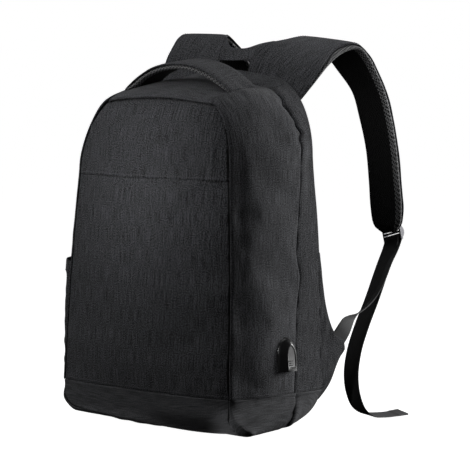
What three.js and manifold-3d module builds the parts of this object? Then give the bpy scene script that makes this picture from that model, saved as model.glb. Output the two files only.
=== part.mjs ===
// Anti-theft backpack standing on its base. Millimetres, +Z up, -Y towards the front.
// The origin is on the floor under the middle of the base, and +X is the side with the charging port.
import * as THREE from 'three';
import { mergeVertices } from 'three/addons/utils/BufferGeometryUtils.js';
import Module from 'manifold-3d';

const wasm = await Module();
wasm.setup();

// Driving dimensions
const CLOTH = 2;              // fabric wall of the shell
const SEAM_GAP = 0.4;         // clearance between pieces that are sewn side by side
const LEAN_HEIGHT = 400;      // height at which a section's upper depth is given
const BASE_BAND = 47;         // height of the seam over the base band
const POCKET_SEAM = 308;      // height of the seam over the front pocket
const TOP_SEAM_X = 95;        // half width of the top panels
const FRONT_RECESS = 3;       // the front panel's edge lies this far behind the gusset's lip
const FRONT_DOME = 13;        // the front panel swells this far in its middle
const FRONT_INSET = 1.8;      // and this far inside the gusset's lip
const FRONT_UNDER = 0.8;      // and its lower edge is this much higher, over the tucked base
const BACK_PAD = 8;           // padding of the back panel
const BACK_DOME = 8;          // how far its middle stands behind the rear edge
const BACK_INSET = 2.7;       // clearance of its border inside the rear edge, and at the top
const BACK_TOP_INSET = 3.9;

const SHOULDER_SLUMP = 8;     // the left shoulder slumps inwards this far
const SHOULDER_SPAN = { low: 315, high: 410, inner: 20, outer: 130 };
const CORNER_LIFT = 11;       // the base's front edge stands off the floor this far at its left corner
const CORNER_SPAN = { low: 5, high: 60, inner: -130, outer: 150, rear: 20, front: 75 };
const TOE_TUCK = 26;          // the base's front right corner is tucked back this far
const TOE_SPAN = { low: 0, high: 24, inner: -20, outer: 110, rear: 28, front: 77 };
const TOE_SPREAD = 13;        // and squared off this far
const TOE_REACH = { low: 2, high: 15, inner: 60, outer: 122 };

// Side pocket: height of its mouth, how far that stands off, and its two ends in rows of SECTIONS
const POCKET = { top: 200, stand: 8.5, front: 0.12, rear: 2.94 };

// Carry handle: where its feet and edges are, its rise, the height of its middle layer over the seat,
// and the padding under it, which thins out to footPad
const HANDLE = { left: -88, right: 97, front: -25, rear: 21, rise: 33, seat: 2.4, pad: 6, footPad: 1.6 };
const HANDLE_CURVE = 2.4;     // exponent of its arch
const FOOT_CURVE = 6;         // and of the thinning towards its feet

const STRAP_CLOTH = 2;
const STRAP_PAD = 8;
const STRAP_EDGE = 2.4;       // thickness of the padding where its edge is sewn
const STRAP_TAPER = { root: 0.12, end: 0.05 };    // shares of its length over which the padding fades
// Yoke: its thickness, its lower and upper edge as shares of the strap's length, how far the upper one
// climbs at each strap, and its clearance there
const YOKE = { thick: 2.6, low: 0.057, high: 0.119, climb: 0.075, margin: 0.012 };
const YOKE_CURVE = 2.6;       // exponent of that climb

const WEB_WIDTH = 25;
const WEB_THICK = 1.5;

// Adjusters: the frame's size and thickness, its bars and ends, and the depth of these
const ADJUSTER = { width: 31, height: 21, thick: 3, bar: 2.6, side: 2.3, depth: 7.5 };
const ADJUSTER_ROLL = 15;     // degrees that an adjuster hangs askew

const PORT = { depth: 14.5, floor: 76.5, socketWidth: 14, socketThick: 6, socketDepth: 15, straight: 0.5 };

const WING_THICK = 3;
const WING_SPLAY = 0.05;      // how far it turns outwards for each millimetre of reach

// Cross-sections of the shell, from the front seam to the rear edge.
// depthLow and depthHigh are its Y at the floor and at LEAN_HEIGHT, halfBase and halfShoulder its
// half widths at the base and at the height shoulder, bow the swell of the side between them.
// The upper corner is a quarter ellipse that ends at cornerX, cornerTop, and crown is the middle's height.
const SECTIONS = [
  { name: 'front seam', depthLow: -77, depthHigh: -55, halfBase: 147, halfShoulder: 132, shoulder: 314,
    bow: 3.5, cornerX: 86, cornerTop: 403, crown: 408, baseRadius: 25, lift: 5 },
  { name: 'front roll', depthLow: -67, depthHigh: -46, halfBase: 150, halfShoulder: 135.5, shoulder: 317,
    bow: 3.5, cornerX: 87, cornerTop: 408, crown: 413, baseRadius: 24, lift: 0 },
  { name: 'middle', depthLow: -18, depthHigh: -4, halfBase: 152, halfShoulder: 139.5, shoulder: 322,
    bow: 3.5, cornerX: 88, cornerTop: 415, crown: 420, baseRadius: 26, lift: 0 },
  { name: 'rear seam', depthLow: 37, depthHigh: 53, halfBase: 151, halfShoulder: 141, shoulder: 328,
    bow: 2.5, cornerX: 82, cornerTop: 420, crown: 426, baseRadius: 39, lift: 0 },
  { name: 'rear edge', depthLow: 86, depthHigh: 79, halfBase: 150, halfShoulder: 139.5, shoulder: 335,
    bow: 1.5, cornerX: 68, cornerTop: 431, crown: 437, baseRadius: 74, lift: 0 },
];
const FRONT_SEAM = 0;
const REAR_SEAM = 3;
const REAR_EDGE = 4;

// Shoulder straps: a row for each section from the sewn root to the rounded lower end,
// as the section's edge near the bag's middle (in) and its other edge (out), X for the right strap.
const STRAP_RIGHT = [
  { inX: 27, inY: 81.2, inZ: 434, outX: 115, outY: 81.2, outZ: 404 },
  { inX: 29, inY: 88, inZ: 455, outX: 113, outY: 105, outZ: 423 },
  { inX: 30, inY: 107, inZ: 470, outX: 110, outY: 137, outZ: 448 },
  { inX: 38, inY: 134, inZ: 476, outX: 108, outY: 167, outZ: 465 },
  { inX: 47, inY: 163, inZ: 480, outX: 113, outY: 193, outZ: 471 },
  { inX: 49, inY: 192, inZ: 464, outX: 112, outY: 212, outZ: 458 },
  { inX: 50, inY: 216, inZ: 441, outX: 111, outY: 231, outZ: 434 },
  { inX: 50, inY: 246, inZ: 411, outX: 110, outY: 248, outZ: 408 },
  { inX: 50, inY: 260, inZ: 378, outX: 110, outY: 260, outZ: 376 },
  { inX: 50, inY: 274, inZ: 336, outX: 109, outY: 271, outZ: 336 },
  { inX: 50, inY: 282, inZ: 292, outX: 108.5, outY: 278, outZ: 293 },
  { inX: 51, inY: 285, inZ: 258, outX: 109, outY: 281, outZ: 260 },
  { inX: 56, inY: 286, inZ: 237, outX: 106, outY: 282, outZ: 240 },
  { inX: 72, inY: 286.6, inZ: 226, outX: 96, outY: 283.6, outZ: 229.5 },
];
const STRAP_LEFT = [
  { inX: 27, inY: 81.5, inZ: 434, outX: 118, outY: 81.5, outZ: 404 },
  { inX: 29, inY: 86.5, inZ: 455, outX: 126, outY: 84, outZ: 432 },
  { inX: 32, inY: 98, inZ: 472, outX: 124, outY: 89, outZ: 462 },
  { inX: 45, inY: 117, inZ: 480, outX: 118, outY: 106, outZ: 480.5 },
  { inX: 54, inY: 139, inZ: 472, outX: 115, outY: 131, outZ: 474 },
  { inX: 41, inY: 154, inZ: 448, outX: 113, outY: 149, outZ: 450 },
  { inX: 41, inY: 164, inZ: 412, outX: 111, outY: 161, outZ: 413 },
  { inX: 46, inY: 173, inZ: 372, outX: 110, outY: 171, outZ: 373 },
  { inX: 50, inY: 180, inZ: 330, outX: 110, outY: 178, outZ: 331 },
  { inX: 50, inY: 184, inZ: 288, outX: 110, outY: 182, outZ: 288 },
  { inX: 50, inY: 186, inZ: 248, outX: 110, outY: 184, outZ: 248 },
  { inX: 52, inY: 187, inZ: 216, outX: 110, outY: 185, outZ: 217 },
  { inX: 60, inY: 187, inZ: 199, outX: 105, outY: 186, outZ: 200 },
  { inX: 74, inY: 187, inZ: 190, outX: 94, outY: 186.5, outZ: 191 },
];

// Webbing: a row for each section from the anchor wing, up to the adjuster, round its lower bar
// and down the free tail. x, y and z are its middle, bearing and tilt the direction across it.
const WEBBING_RIGHT = [
  { x: 150, y: 112.9, z: 108, bearing: 90, tilt: -39 },
  { x: 151, y: 122, z: 119, bearing: 93, tilt: -36 },
  { x: 149, y: 131, z: 127, bearing: 102, tilt: -28 },
  { x: 145, y: 142, z: 131, bearing: 115, tilt: -18 },
  { x: 139, y: 160, z: 134.5, bearing: 130, tilt: -6 },
  { x: 131, y: 183, z: 140, bearing: 137, tilt: -3 },
  { x: 122, y: 210, z: 150, bearing: 140, tilt: -4 },
  { x: 112, y: 237, z: 168, bearing: 145, tilt: -6 },
  { x: 102, y: 260, z: 189, bearing: 152, tilt: -9 },
  { x: 92, y: 280, z: 204, bearing: 166, tilt: -13 },
  { x: 85, y: 290.7, z: 212.7, bearing: 178, tilt: -15 },
  { x: 84, y: 294.1, z: 217.2, bearing: 180, tilt: -15 },
  { x: 82.8, y: 290.3, z: 221.2, bearing: 180, tilt: -15 },
  { x: 84, y: 286.5, z: 217.2, bearing: 180, tilt: -15 },
  { x: 85.5, y: 281, z: 208.2, bearing: 180, tilt: -12 },
  { x: 92, y: 262, z: 187, bearing: 180, tilt: -6 },
  { x: 100, y: 230, z: 144, bearing: 180, tilt: -3 },
  { x: 106.5, y: 204, z: 113, bearing: 180, tilt: 0 },
  { x: 113.5, y: 182, z: 83, bearing: 180, tilt: 0 },
  { x: 119.5, y: 170, z: 56, bearing: 180, tilt: 2 },
  { x: 124.5, y: 168, z: 33, bearing: 180, tilt: 4 },
  { x: 130, y: 173, z: 14, bearing: 180, tilt: 6 },
  { x: 135, y: 184, z: 5, bearing: 180, tilt: 7 },
  { x: 138, y: 199, z: 3.2, bearing: 180, tilt: 8 },
  { x: 141, y: 220, z: 3.2, bearing: 180, tilt: 8 },
  { x: 142, y: 243, z: 4.2, bearing: 180, tilt: 13 },
];
const WEBBING_LEFT = [
  { x: 150, y: 112.9, z: 108, bearing: 90, tilt: -39 },
  { x: 151, y: 124, z: 119, bearing: 93, tilt: -34 },
  { x: 149, y: 138, z: 124, bearing: 100, tilt: -24 },
  { x: 144, y: 156, z: 121, bearing: 112, tilt: -12 },
  { x: 137, y: 174, z: 110, bearing: 124, tilt: -4 },
  { x: 128, y: 190, z: 98, bearing: 134, tilt: 0 },
  { x: 118, y: 204, z: 93, bearing: 144, tilt: -2 },
  { x: 109, y: 212, z: 100, bearing: 154, tilt: -6 },
  { x: 102, y: 213, z: 120, bearing: 164, tilt: -10 },
  { x: 94, y: 209, z: 145, bearing: 172, tilt: -13 },
  { x: 88, y: 201, z: 167, bearing: 178, tilt: -15 },
  { x: 86, y: 194.6, z: 181, bearing: 180, tilt: -15 },
  { x: 84.8, y: 190.8, z: 185, bearing: 180, tilt: -15 },
  { x: 86, y: 187, z: 181, bearing: 180, tilt: -15 },
  { x: 87, y: 184, z: 172, bearing: 180, tilt: -13 },
  { x: 91, y: 179, z: 145, bearing: 180, tilt: -9 },
  { x: 95, y: 174, z: 112, bearing: 180, tilt: -5 },
  { x: 98, y: 172, z: 80, bearing: 180, tilt: -2 },
  { x: 99, y: 173, z: 48, bearing: 180, tilt: 2 },
  { x: 100, y: 178, z: 24, bearing: 179, tilt: 6 },
  { x: 103, y: 189, z: 9.5, bearing: 176, tilt: 11 },
  { x: 107, y: 205, z: 5.2, bearing: 172, tilt: 14 },
  { x: 113, y: 228, z: 4.8, bearing: 166, tilt: 15 },
  { x: 121, y: 254, z: 4.8, bearing: 161, tilt: 15 },
  { x: 133, y: 285, z: 4.8, bearing: 157, tilt: 15 },
  { x: 144, y: 310, z: 4.8, bearing: 155, tilt: 15 },
];
const ADJUSTER_RIGHT = { x: 84, y: 290.3, z: 216.6 };
const ADJUSTER_LEFT = { x: 86, y: 190.8, z: 180.4 };

// Anchor wing: how far it reaches behind the rear edge at each height.
const WING = [
  { height: 216, reach: 1.5 },
  { height: 190, reach: 3.2 },
  { height: 164, reach: 6.4 },
  { height: 148, reach: 9 },
  { height: 134, reach: 11.5 },
  { height: 117, reach: 17.6 },
  { height: 102.5, reach: 34.3 },
  { height: 94.5, reach: 35.1 },
  { height: 84, reach: 28 },
  { height: 68, reach: 19.7 },
  { height: 50, reach: 11 },
  { height: 34, reach: 1.5 },
];

// Charging port: outlines of its hood from the gusset outwards.
const PORT_RINGS = [
  { out: 0, width: 31, height: 41 },
  { out: 3.5, width: 29.5, height: 40 },
  { out: 9.5, width: 18, height: 35.5 },
  { out: 11.5, width: 13, height: 32.5 },
];

const HEATHER = { color: 0x2c2d30, roughness: 0.95, metalness: 0 };
const ACCENT = { color: 0x28292b, roughness: 0.85, metalness: 0 };
const MESH = { color: 0x0c0c0d, roughness: 0.9, metalness: 0 };
const WEB = { color: 0x111112, roughness: 0.8, metalness: 0 };
const STEEL = { color: 0x9b9da2, roughness: 0.35, metalness: 0.8 };
const PLASTIC = { color: 0x151516, roughness: 0.3, metalness: 0 };

const RADIANS = Math.PI / 180;

const backpack = new THREE.Group();

function add(name, geometry, finish) {
  geometry.computeVertexNormals();
  const mesh = new THREE.Mesh(geometry, new THREE.MeshStandardMaterial(finish));
  mesh.name = name;
  backpack.add(mesh);
  return mesh;
}

// Smooth columns of a table

function slopeAt(rows, key, index) {
  const last = rows.length - 1;
  const step = (row) => rows[row + 1][key] - rows[row][key];
  if (index === 0 || index === last) {
    return step(index === 0 ? 0 : last - 1);
  }
  const before = step(index - 1);
  const after = step(index);
  return before * after > 0 ? (2 * before * after) / (before + after) : 0;
}

// A column's value at a fractional row, with no swing past its rows.
function column(rows, key, place) {
  const index = Math.min(Math.max(Math.floor(place), 0), rows.length - 2);
  const f = place - index;
  const from = rows[index][key];
  const to = rows[index + 1][key];
  const slopeFrom = slopeAt(rows, key, index);
  const slopeTo = slopeAt(rows, key, index + 1);
  const bend = f * f * (3 - 2 * f);
  const lead = f * (1 - f) * (1 - f);
  const trail = f * f * (1 - f);
  return from + (to - from) * bend + slopeFrom * lead - slopeTo * trail;
}

// Outline of the shell

const SECTION_KEYS = Object.keys(SECTIONS[0]).filter((key) => key !== 'name');

function sectionAt(place) {
  const section = {};
  for (const key of SECTION_KEYS) {
    section[key] = column(SECTIONS, key, place);
  }
  return section;
}

function sideHalf(section, z) {
  const low = section.lift + section.baseRadius;
  const f = (z - low) / (section.shoulder - low);
  const straight = THREE.MathUtils.lerp(section.halfBase, section.halfShoulder, f);
  return straight + section.bow * Math.sin(Math.PI * f);
}

function shrink(section, inset, topInset = inset) {
  return {
    ...section,
    halfBase: section.halfBase - inset,
    halfShoulder: section.halfShoulder - inset,
    cornerTop: section.cornerTop - topInset,
    crown: section.crown - topInset,
    baseRadius: section.baseRadius - inset,
    lift: section.lift + inset,
  };
}

const ARC_STEPS = 24;

// Half outline from the middle of the base, up the side, to the middle of the top.
function halfOutline(section) {
  const { halfBase, halfShoulder, shoulder, cornerX, cornerTop, crown, baseRadius, lift } = section;
  const points = [new THREE.Vector2(0, lift)];
  for (let i = 0; i <= ARC_STEPS; i += 1) {
    const angle = (Math.PI / 2) * (i / ARC_STEPS);
    points.push(new THREE.Vector2(
      halfBase - baseRadius + baseRadius * Math.sin(angle),
      lift + baseRadius - baseRadius * Math.cos(angle),
    ));
  }
  for (let i = 1; i <= ARC_STEPS; i += 1) {
    const z = THREE.MathUtils.lerp(lift + baseRadius, shoulder, i / ARC_STEPS);
    points.push(new THREE.Vector2(sideHalf(section, z), z));
  }
  for (let i = 1; i <= ARC_STEPS; i += 1) {
    const angle = (Math.PI / 2) * (i / ARC_STEPS);
    points.push(new THREE.Vector2(
      cornerX + (halfShoulder - cornerX) * Math.cos(angle),
      shoulder + (cornerTop - shoulder) * Math.sin(angle),
    ));
  }
  for (let i = 1; i <= ARC_STEPS; i += 1) {
    const x = cornerX * (1 - i / ARC_STEPS);
    points.push(new THREE.Vector2(x, crown - (crown - cornerTop) * (x / cornerX) ** 2));
  }
  return points;
}

// A half outline measured by t: 0 at the base's middle, 1 at the base band's seam,
// 2 at the top panel's seam and 3 at the top's middle, evenly by length between them.
class Outline {
  constructor(section) {
    this.points = halfOutline(section);
    this.lengths = [0];
    for (let i = 1; i < this.points.length; i += 1) {
      this.lengths.push(this.lengths[i - 1] + this.points[i].distanceTo(this.points[i - 1]));
    }
    const total = this.lengths.at(-1);
    const band = this.lengthWhere((point) => point.y - BASE_BAND);
    const seam = this.lengthWhere((point) => (point.y > section.shoulder ? TOP_SEAM_X - point.x : -1));
    this.marks = [0, band, seam, total];
    this.flatEnd = this.lengths[1] / band;
  }

  // Length at which a measure of the outline's points first turns positive.
  lengthWhere(measure) {
    const i = this.points.findIndex((point) => measure(point) > 0);
    const before = measure(this.points[i - 1]);
    const f = before / (before - measure(this.points[i]));
    return THREE.MathUtils.lerp(this.lengths[i - 1], this.lengths[i], f);
  }

  at(t) {
    const span = Math.min(Math.floor(t), 2);
    const length = THREE.MathUtils.lerp(this.marks[span], this.marks[span + 1], t - span);
    const found = this.lengths.findIndex((value) => value >= length);
    const i = found < 0 ? this.points.length - 1 : Math.max(found, 1);
    const f = (length - this.lengths[i - 1]) / (this.lengths[i] - this.lengths[i - 1]);
    return this.points[i - 1].clone().lerp(this.points[i], f);
  }

  // The t of a height on the side.
  atHeight(z) {
    const length = this.lengthWhere((point) => point.y - z);
    const [, band, seam] = this.marks;
    return length < band ? length / band : 1 + (length - band) / (seam - band);
  }
}

const outlines = new Map();

function outlineAt(place) {
  const key = place.toFixed(7);
  if (!outlines.has(key)) {
    outlines.set(key, new Outline(sectionAt(place)));
  }
  return outlines.get(key);
}

function depthAt(place, z) {
  return THREE.MathUtils.lerp(column(SECTIONS, 'depthLow', place), column(SECTIONS, 'depthHigh', place),
    z / LEAN_HEIGHT);
}

// The soft shell's slump at its left shoulder and along the front edge of its base
function settled(point) {
  const { smoothstep } = THREE.MathUtils;
  const shoulder = smoothstep(point.z, SHOULDER_SPAN.low, SHOULDER_SPAN.high)
    * smoothstep(-point.x, SHOULDER_SPAN.inner, SHOULDER_SPAN.outer);
  const corner = (1 - smoothstep(point.z, CORNER_SPAN.low, CORNER_SPAN.high))
    * smoothstep(-point.x, CORNER_SPAN.inner, CORNER_SPAN.outer)
    * smoothstep(-point.y, CORNER_SPAN.rear, CORNER_SPAN.front);
  const atFront = smoothstep(-point.y, TOE_SPAN.rear, TOE_SPAN.front);
  const tuck = atFront * (1 - smoothstep(point.z, TOE_SPAN.low, TOE_SPAN.high))
    * smoothstep(point.x, TOE_SPAN.inner, TOE_SPAN.outer);
  const spreading = atFront * (1 - smoothstep(point.z, TOE_REACH.low, TOE_REACH.high))
    * smoothstep(point.x, TOE_REACH.inner, TOE_REACH.outer);
  point.x += SHOULDER_SLUMP * shoulder + TOE_SPREAD * spreading;
  point.y += TOE_TUCK * tuck;
  point.z += CORNER_LIFT * corner;
  return point;
}

// The shell's outside: place runs over the rows of SECTIONS, t round the bag from the left end of the
// base band (-1) over the base (0), right side (1 to 2), top (2 to 4) and left side (4 to 5).
function shell(place, t) {
  const onLeft = t < 0 || t > 3;
  const half = t > 3 ? 6 - t : Math.abs(t);
  const { x, y: z } = outlineAt(place).at(half);
  return settled(new THREE.Vector3(onLeft ? -x : x, depthAt(place, z), z));
}

// Sheets

const NUDGE = 1e-3;

function derivative(surface, u, v, du, dv, limits) {
  const clampU = (value) => THREE.MathUtils.clamp(value, limits[0], limits[1]);
  const ahead = surface(clampU(u + du), v + dv);
  const behind = surface(clampU(u - du), v - dv);
  const reach = du > 0 ? clampU(u + du) - clampU(u - du) : 2 * dv;
  return ahead.sub(behind).divideScalar(reach);
}

// 1 on the first grid line, -1 on the last and 0 between
function inward(line, last) {
  return Number(line === 0) - Number(line === last);
}

function offsetOf(offset, u, v) {
  return typeof offset === 'function' ? offset(u, v) : offset;
}

// Evenly spread values, both ends included
function spread(from, to, steps) {
  return Array.from({ length: steps + 1 }, (_, i) => THREE.MathUtils.lerp(from, to, i / steps));
}

// A closed sheet between two offsets of a surface, with a grid line at each value of u and v.
// Each border is held back by half a seam gap. limits keep the tangents inside the surface's own u.
// Where along is given, the offsets run that way instead of square to the surface, right to the borders.
function sheet(surface, { u, v, low, high, limits = [-Infinity, Infinity], along = null }) {
  const uSteps = u.length - 1;
  const vSteps = v.length - 1;
  const above = [];
  const below = [];
  const back = SEAM_GAP / 2;
  for (let i = 0; i <= uSteps; i += 1) {
    for (let j = 0; j <= vSteps; j += 1) {
      let uHere = u[i];
      let vHere = v[j];
      const alongU = derivative(surface, uHere, vHere, NUDGE, 0, limits);
      const alongV = derivative(surface, uHere, vHere, 0, NUDGE, limits);
      if (!along) {
        uHere += back * inward(i, uSteps) / alongU.length();
        vHere += back * inward(j, vSteps) / alongV.length();
      }
      const normal = along ?? alongU.cross(alongV).normalize();
      const point = surface(uHere, vHere);
      above.push(point.clone().addScaledVector(normal, offsetOf(high, uHere, vHere)));
      below.push(point.clone().addScaledVector(normal, offsetOf(low, uHere, vHere)));
    }
  }
  const top = (i, j) => i * (vSteps + 1) + j;
  const bottom = (i, j) => above.length + top(i, j);
  const index = [];
  const quad = (a, b, c, d) => index.push(a, b, c, a, c, d);
  for (let i = 0; i < uSteps; i += 1) {
    for (let j = 0; j < vSteps; j += 1) {
      quad(top(i, j), top(i + 1, j), top(i + 1, j + 1), top(i, j + 1));
      quad(bottom(i, j), bottom(i, j + 1), bottom(i + 1, j + 1), bottom(i + 1, j));
    }
    quad(bottom(i, 0), bottom(i + 1, 0), top(i + 1, 0), top(i, 0));
    quad(bottom(i + 1, vSteps), bottom(i, vSteps), top(i, vSteps), top(i + 1, vSteps));
  }
  for (let j = 0; j < vSteps; j += 1) {
    quad(bottom(0, j + 1), bottom(0, j), top(0, j), top(0, j + 1));
    quad(bottom(uSteps, j), bottom(uSteps, j + 1), top(uSteps, j + 1), top(uSteps, j));
  }
  const geometry = new THREE.BufferGeometry();
  geometry.setFromPoints([...above, ...below]);
  geometry.setIndex(index);
  return geometry;
}

// Grid lines round the shell: those of the half base meet the ends of its flat and of its corner,
// those of the side meet the front pocket's seam.
const FRONT_CORNER = 0.685;
const BASE_TURNS = [0, 0.15, 0.3, 0.425, 0.52, 0.61, FRONT_CORNER, 0.74, 0.795, 0.85, 0.905, 1];
const SIDE_STEPS = { below: 8, above: 7 };
const TOP_STEPS = 12;

function sideTurns(outline) {
  const seam = outline.atHeight(POCKET_SEAM);
  return {
    below: spread(1, seam, SIDE_STEPS.below),
    above: spread(seam, 2, SIDE_STEPS.above),
  };
}

// Gussets: panels of the shell between two of its sections
function addGussets() {
  const { below, above } = sideTurns(outlineAt(FRONT_SEAM));
  const side = [...below, ...above.slice(1)];
  const base = [...BASE_TURNS.slice(1).map((t) => -t).reverse(), ...BASE_TURNS];
  const panels = [
    { part: 'base', finish: ACCENT, turns: base },
    { part: 'right', finish: HEATHER, turns: side },
    { part: 'top', finish: HEATHER, turns: spread(2, 4, TOP_STEPS) },
    { part: 'left', finish: HEATHER, turns: side.map((t) => 6 - t).reverse() },
  ];
  const rings = [
    { ring: 'gusset', places: [0, 0.35, 1, 1.5, 2, 2.5, 2.8, REAR_SEAM] },
    { ring: 'rear', places: spread(REAR_SEAM, REAR_EDGE, 3) },
  ];
  for (const { ring, places } of rings) {
    for (const { part, finish, turns } of panels) {
      add(`${ring}_${part}`, sheet(shell, {
        u: places, v: turns, low: -CLOTH, high: 0, limits: [FRONT_SEAM, REAR_EDGE],
      }), finish);
    }
  }
}

// A patch between four borders: low and high by c from -1 to 1, and the right border by v from 0 to 1.
// The left border mirrors the right one.
function patch(low, high, right) {
  return (c, v) => {
    const point = low(c).lerp(high(c), v);
    const start = right(0).sub(low(1));
    const end = right(1).sub(high(1));
    const straight = low(1).lerp(high(1), v).add(start.lerp(end, v));
    const swell = right(v).sub(straight);
    return new THREE.Vector2(point.x + swell.x * c, point.y + swell.y);
  };
}

// Top border of an outline by c from -1 to 1
function topBorder(outline) {
  return (c) => {
    const point = outline.at(3 - Math.abs(c));
    return new THREE.Vector2(Math.sign(c) * point.x, point.y);
  };
}

// Front panels

const FRONTWARD = new THREE.Vector3(0, -1, 0);
const BACKWARD = new THREE.Vector3(0, 1, 0);
const frontSection = shrink(sectionAt(FRONT_SEAM), FRONT_INSET);
const frontOutline = new Outline(frontSection);

function frontHalf(z) {
  const { shoulder, halfShoulder, cornerX, cornerTop } = frontSection;
  if (z < shoulder) {
    return sideHalf(frontSection, z);
  }
  const rise = Math.min(1, (z - shoulder) / (cornerTop - shoulder));
  return cornerX + (halfShoulder - cornerX) * Math.sqrt(1 - rise ** 2);
}

function frontDepth(x, z) {
  const half = frontHalf(z);
  const across = Math.max(0, 1 - (x / half) ** 2);
  const along = 1 - Math.abs((2 * z) / frontSection.crown - 1) ** 4;
  return depthAt(FRONT_SEAM, z) + FRONT_RECESS - FRONT_DOME * across * along;
}

function level(z) {
  return (c) => new THREE.Vector2(c * sideHalf(frontSection, z), z);
}

// The right border of a patch from its turns: v runs from 0 to 1 over them.
function borderOf(outline, turns) {
  return (v) => outline.at(THREE.MathUtils.lerp(turns[0], turns.at(-1), v));
}

// The turns as values of v
function rowsOf(turns) {
  return turns.map((t) => (t - turns[0]) / (turns.at(-1) - turns[0]));
}

function addFrontPanels() {
  const { below, above } = sideTurns(frontOutline);
  const corner = BASE_TURNS.slice(BASE_TURNS.indexOf(FRONT_CORNER));
  const flat = frontSection.halfBase - frontSection.baseRadius;
  const under = (c) => new THREE.Vector2(c * flat, frontSection.lift + FRONT_UNDER);
  const clear = SEAM_GAP / 2;
  const panels = [
    { name: 'front_upper_panel', finish: HEATHER, turns: above,
      low: level(POCKET_SEAM + clear), high: topBorder(frontOutline) },
    { name: 'front_pocket_panel', finish: HEATHER, turns: below,
      low: level(BASE_BAND + clear), high: level(POCKET_SEAM - clear) },
    { name: 'front_base_band', finish: ACCENT, turns: [frontOutline.flatEnd, ...corner.slice(1)],
      low: under, high: level(BASE_BAND - clear) },
  ];
  for (const { name, finish, turns, low, high } of panels) {
    const area = patch(low, high, borderOf(frontOutline, turns));
    const surface = (c, v) => {
      const { x, y: z } = area(c, v);
      return settled(new THREE.Vector3(x, frontDepth(x, z), z));
    };
    add(name, sheet(surface, {
      u: spread(-1, 1, TOP_STEPS), v: rowsOf(turns), limits: [-1, 1], along: FRONTWARD,
      low: -CLOTH, high: 0,
    }), finish);
  }
}

// Padded panel against the wearer's back, thin along its sewn border
function addBackPanel() {
  const section = shrink(sectionAt(REAR_EDGE), BACK_INSET, BACK_TOP_INSET);
  const outline = new Outline(section);
  const flat = section.halfBase - section.baseRadius;
  const under = (c) => new THREE.Vector2(c * flat, section.lift);
  const { below, above } = sideTurns(outline);
  const turns = [outline.flatEnd, ...BASE_TURNS.slice(4), ...below.slice(1), ...above.slice(1)];
  const area = patch(under, topBorder(outline), borderOf(outline, turns));
  const swell = (c, v) => (1 - c ** 4) * (1 - (2 * v - 1) ** 4);
  const surface = (c, v) => {
    const { x, y: z } = area(-c, v);
    return settled(new THREE.Vector3(x, depthAt(REAR_EDGE, z) - SEAM_GAP + BACK_DOME * swell(c, v), z));
  };
  add('back_panel', sheet(surface, {
    u: spread(-1, 1, TOP_STEPS), v: rowsOf(turns), limits: [-1, 1], along: BACKWARD,
    low: (c, v) => -CLOTH - (BACK_PAD - CLOTH) * swell(c, v), high: 0,
  }), MESH);
}

// Open pocket on the left side: sewn down along its sides and bottom, standing off at its mouth
function addSidePocket() {
  const mouth = 6 - outlineAt(1).atHeight(POCKET.top);
  const places = [POCKET.front, POCKET.rear];
  const turns = [mouth, 5];
  const stand = (place, t) => {
    const across = (2 * (place - places[0])) / (places[1] - places[0]) - 1;
    const up = (turns[1] - t) / (turns[1] - turns[0]);
    return SEAM_GAP + POCKET.stand * (1 - Math.abs(across) ** 6) * up ** 0.8;
  };
  add('side_pocket', sheet(shell, {
    u: spread(...places, 12), v: spread(...turns, 6), limits: [FRONT_SEAM, REAR_EDGE],
    low: stand, high: (place, t) => stand(place, t) + CLOTH,
  }), HEATHER);
}

// Height of the shell's top at a place seen from above
function topHeight(x, y) {
  let nearest = Infinity;
  let height = 0;
  for (const place of spread(FRONT_SEAM, REAR_EDGE, 200)) {
    for (const t of spread(1.9, 4.1, 110)) {
      const point = shell(place, t);
      const miss = Math.hypot(point.x - x, point.y - y);
      if (miss < nearest) {
        nearest = miss;
        height = point.z;
      }
    }
  }
  return height;
}

// Carry handle: an arch across the top, sewn down at the top panel's seams
function addHandle() {
  const { left, right, front, rear, rise, seat, pad, footPad } = HANDLE;
  const { lerp } = THREE.MathUtils;
  const feet = [left, right].map((x) => [topHeight(x, front), topHeight(x, rear)]);
  const arch = (u, v) => {
    const across = (u + 1) / 2;
    const [leftFoot, rightFoot] = feet.map(([near, far]) => lerp(near, far, v));
    const foot = lerp(leftFoot, rightFoot, across);
    return new THREE.Vector3(
      lerp(left, right, across),
      lerp(front, rear, v),
      foot + seat + rise * (1 - Math.abs(u) ** HANDLE_CURVE),
    );
  };
  const padding = (u) => -footPad - (pad - footPad) * (1 - u ** FOOT_CURVE);
  const area = { u: spread(-1, 1, 20), v: spread(0, 1, 3), limits: [-1, 1] };
  add('carry_handle', sheet(arch, { ...area, low: SEAM_GAP / 2, high: CLOTH }), HEATHER);
  add('handle_lining', sheet(arch, { ...area, low: padding, high: -SEAM_GAP / 2 }), MESH);
}

// Solids that are joined or cut

function solid(geometry) {
  const bare = geometry.clone();
  bare.deleteAttribute('normal');
  bare.deleteAttribute('uv');
  const merged = mergeVertices(bare);
  return new wasm.Manifold(new wasm.Mesh({
    numProp: 3,
    vertProperties: new Float32Array(merged.attributes.position.array),
    triVerts: new Uint32Array(merged.index.array),
  }));
}

function geometryOf(manifold) {
  const mesh = manifold.getMesh();
  const geometry = new THREE.BufferGeometry();
  geometry.setAttribute('position', new THREE.BufferAttribute(new Float32Array(mesh.vertProperties), 3));
  geometry.setIndex(new THREE.BufferAttribute(new Uint32Array(mesh.triVerts), 1));
  return geometry;
}

// Ribbons

function edgeCurve(points) {
  return new THREE.CatmullRomCurve3(points, false, 'centripetal');
}

// A surface between two edge curves: u from 0 to 1 along them, v from 0 to 1 across.
function ribbon(firstEdge, secondEdge) {
  return (u, v) => firstEdge.getPoint(u).lerp(secondEdge.getPoint(u), v);
}

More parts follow.
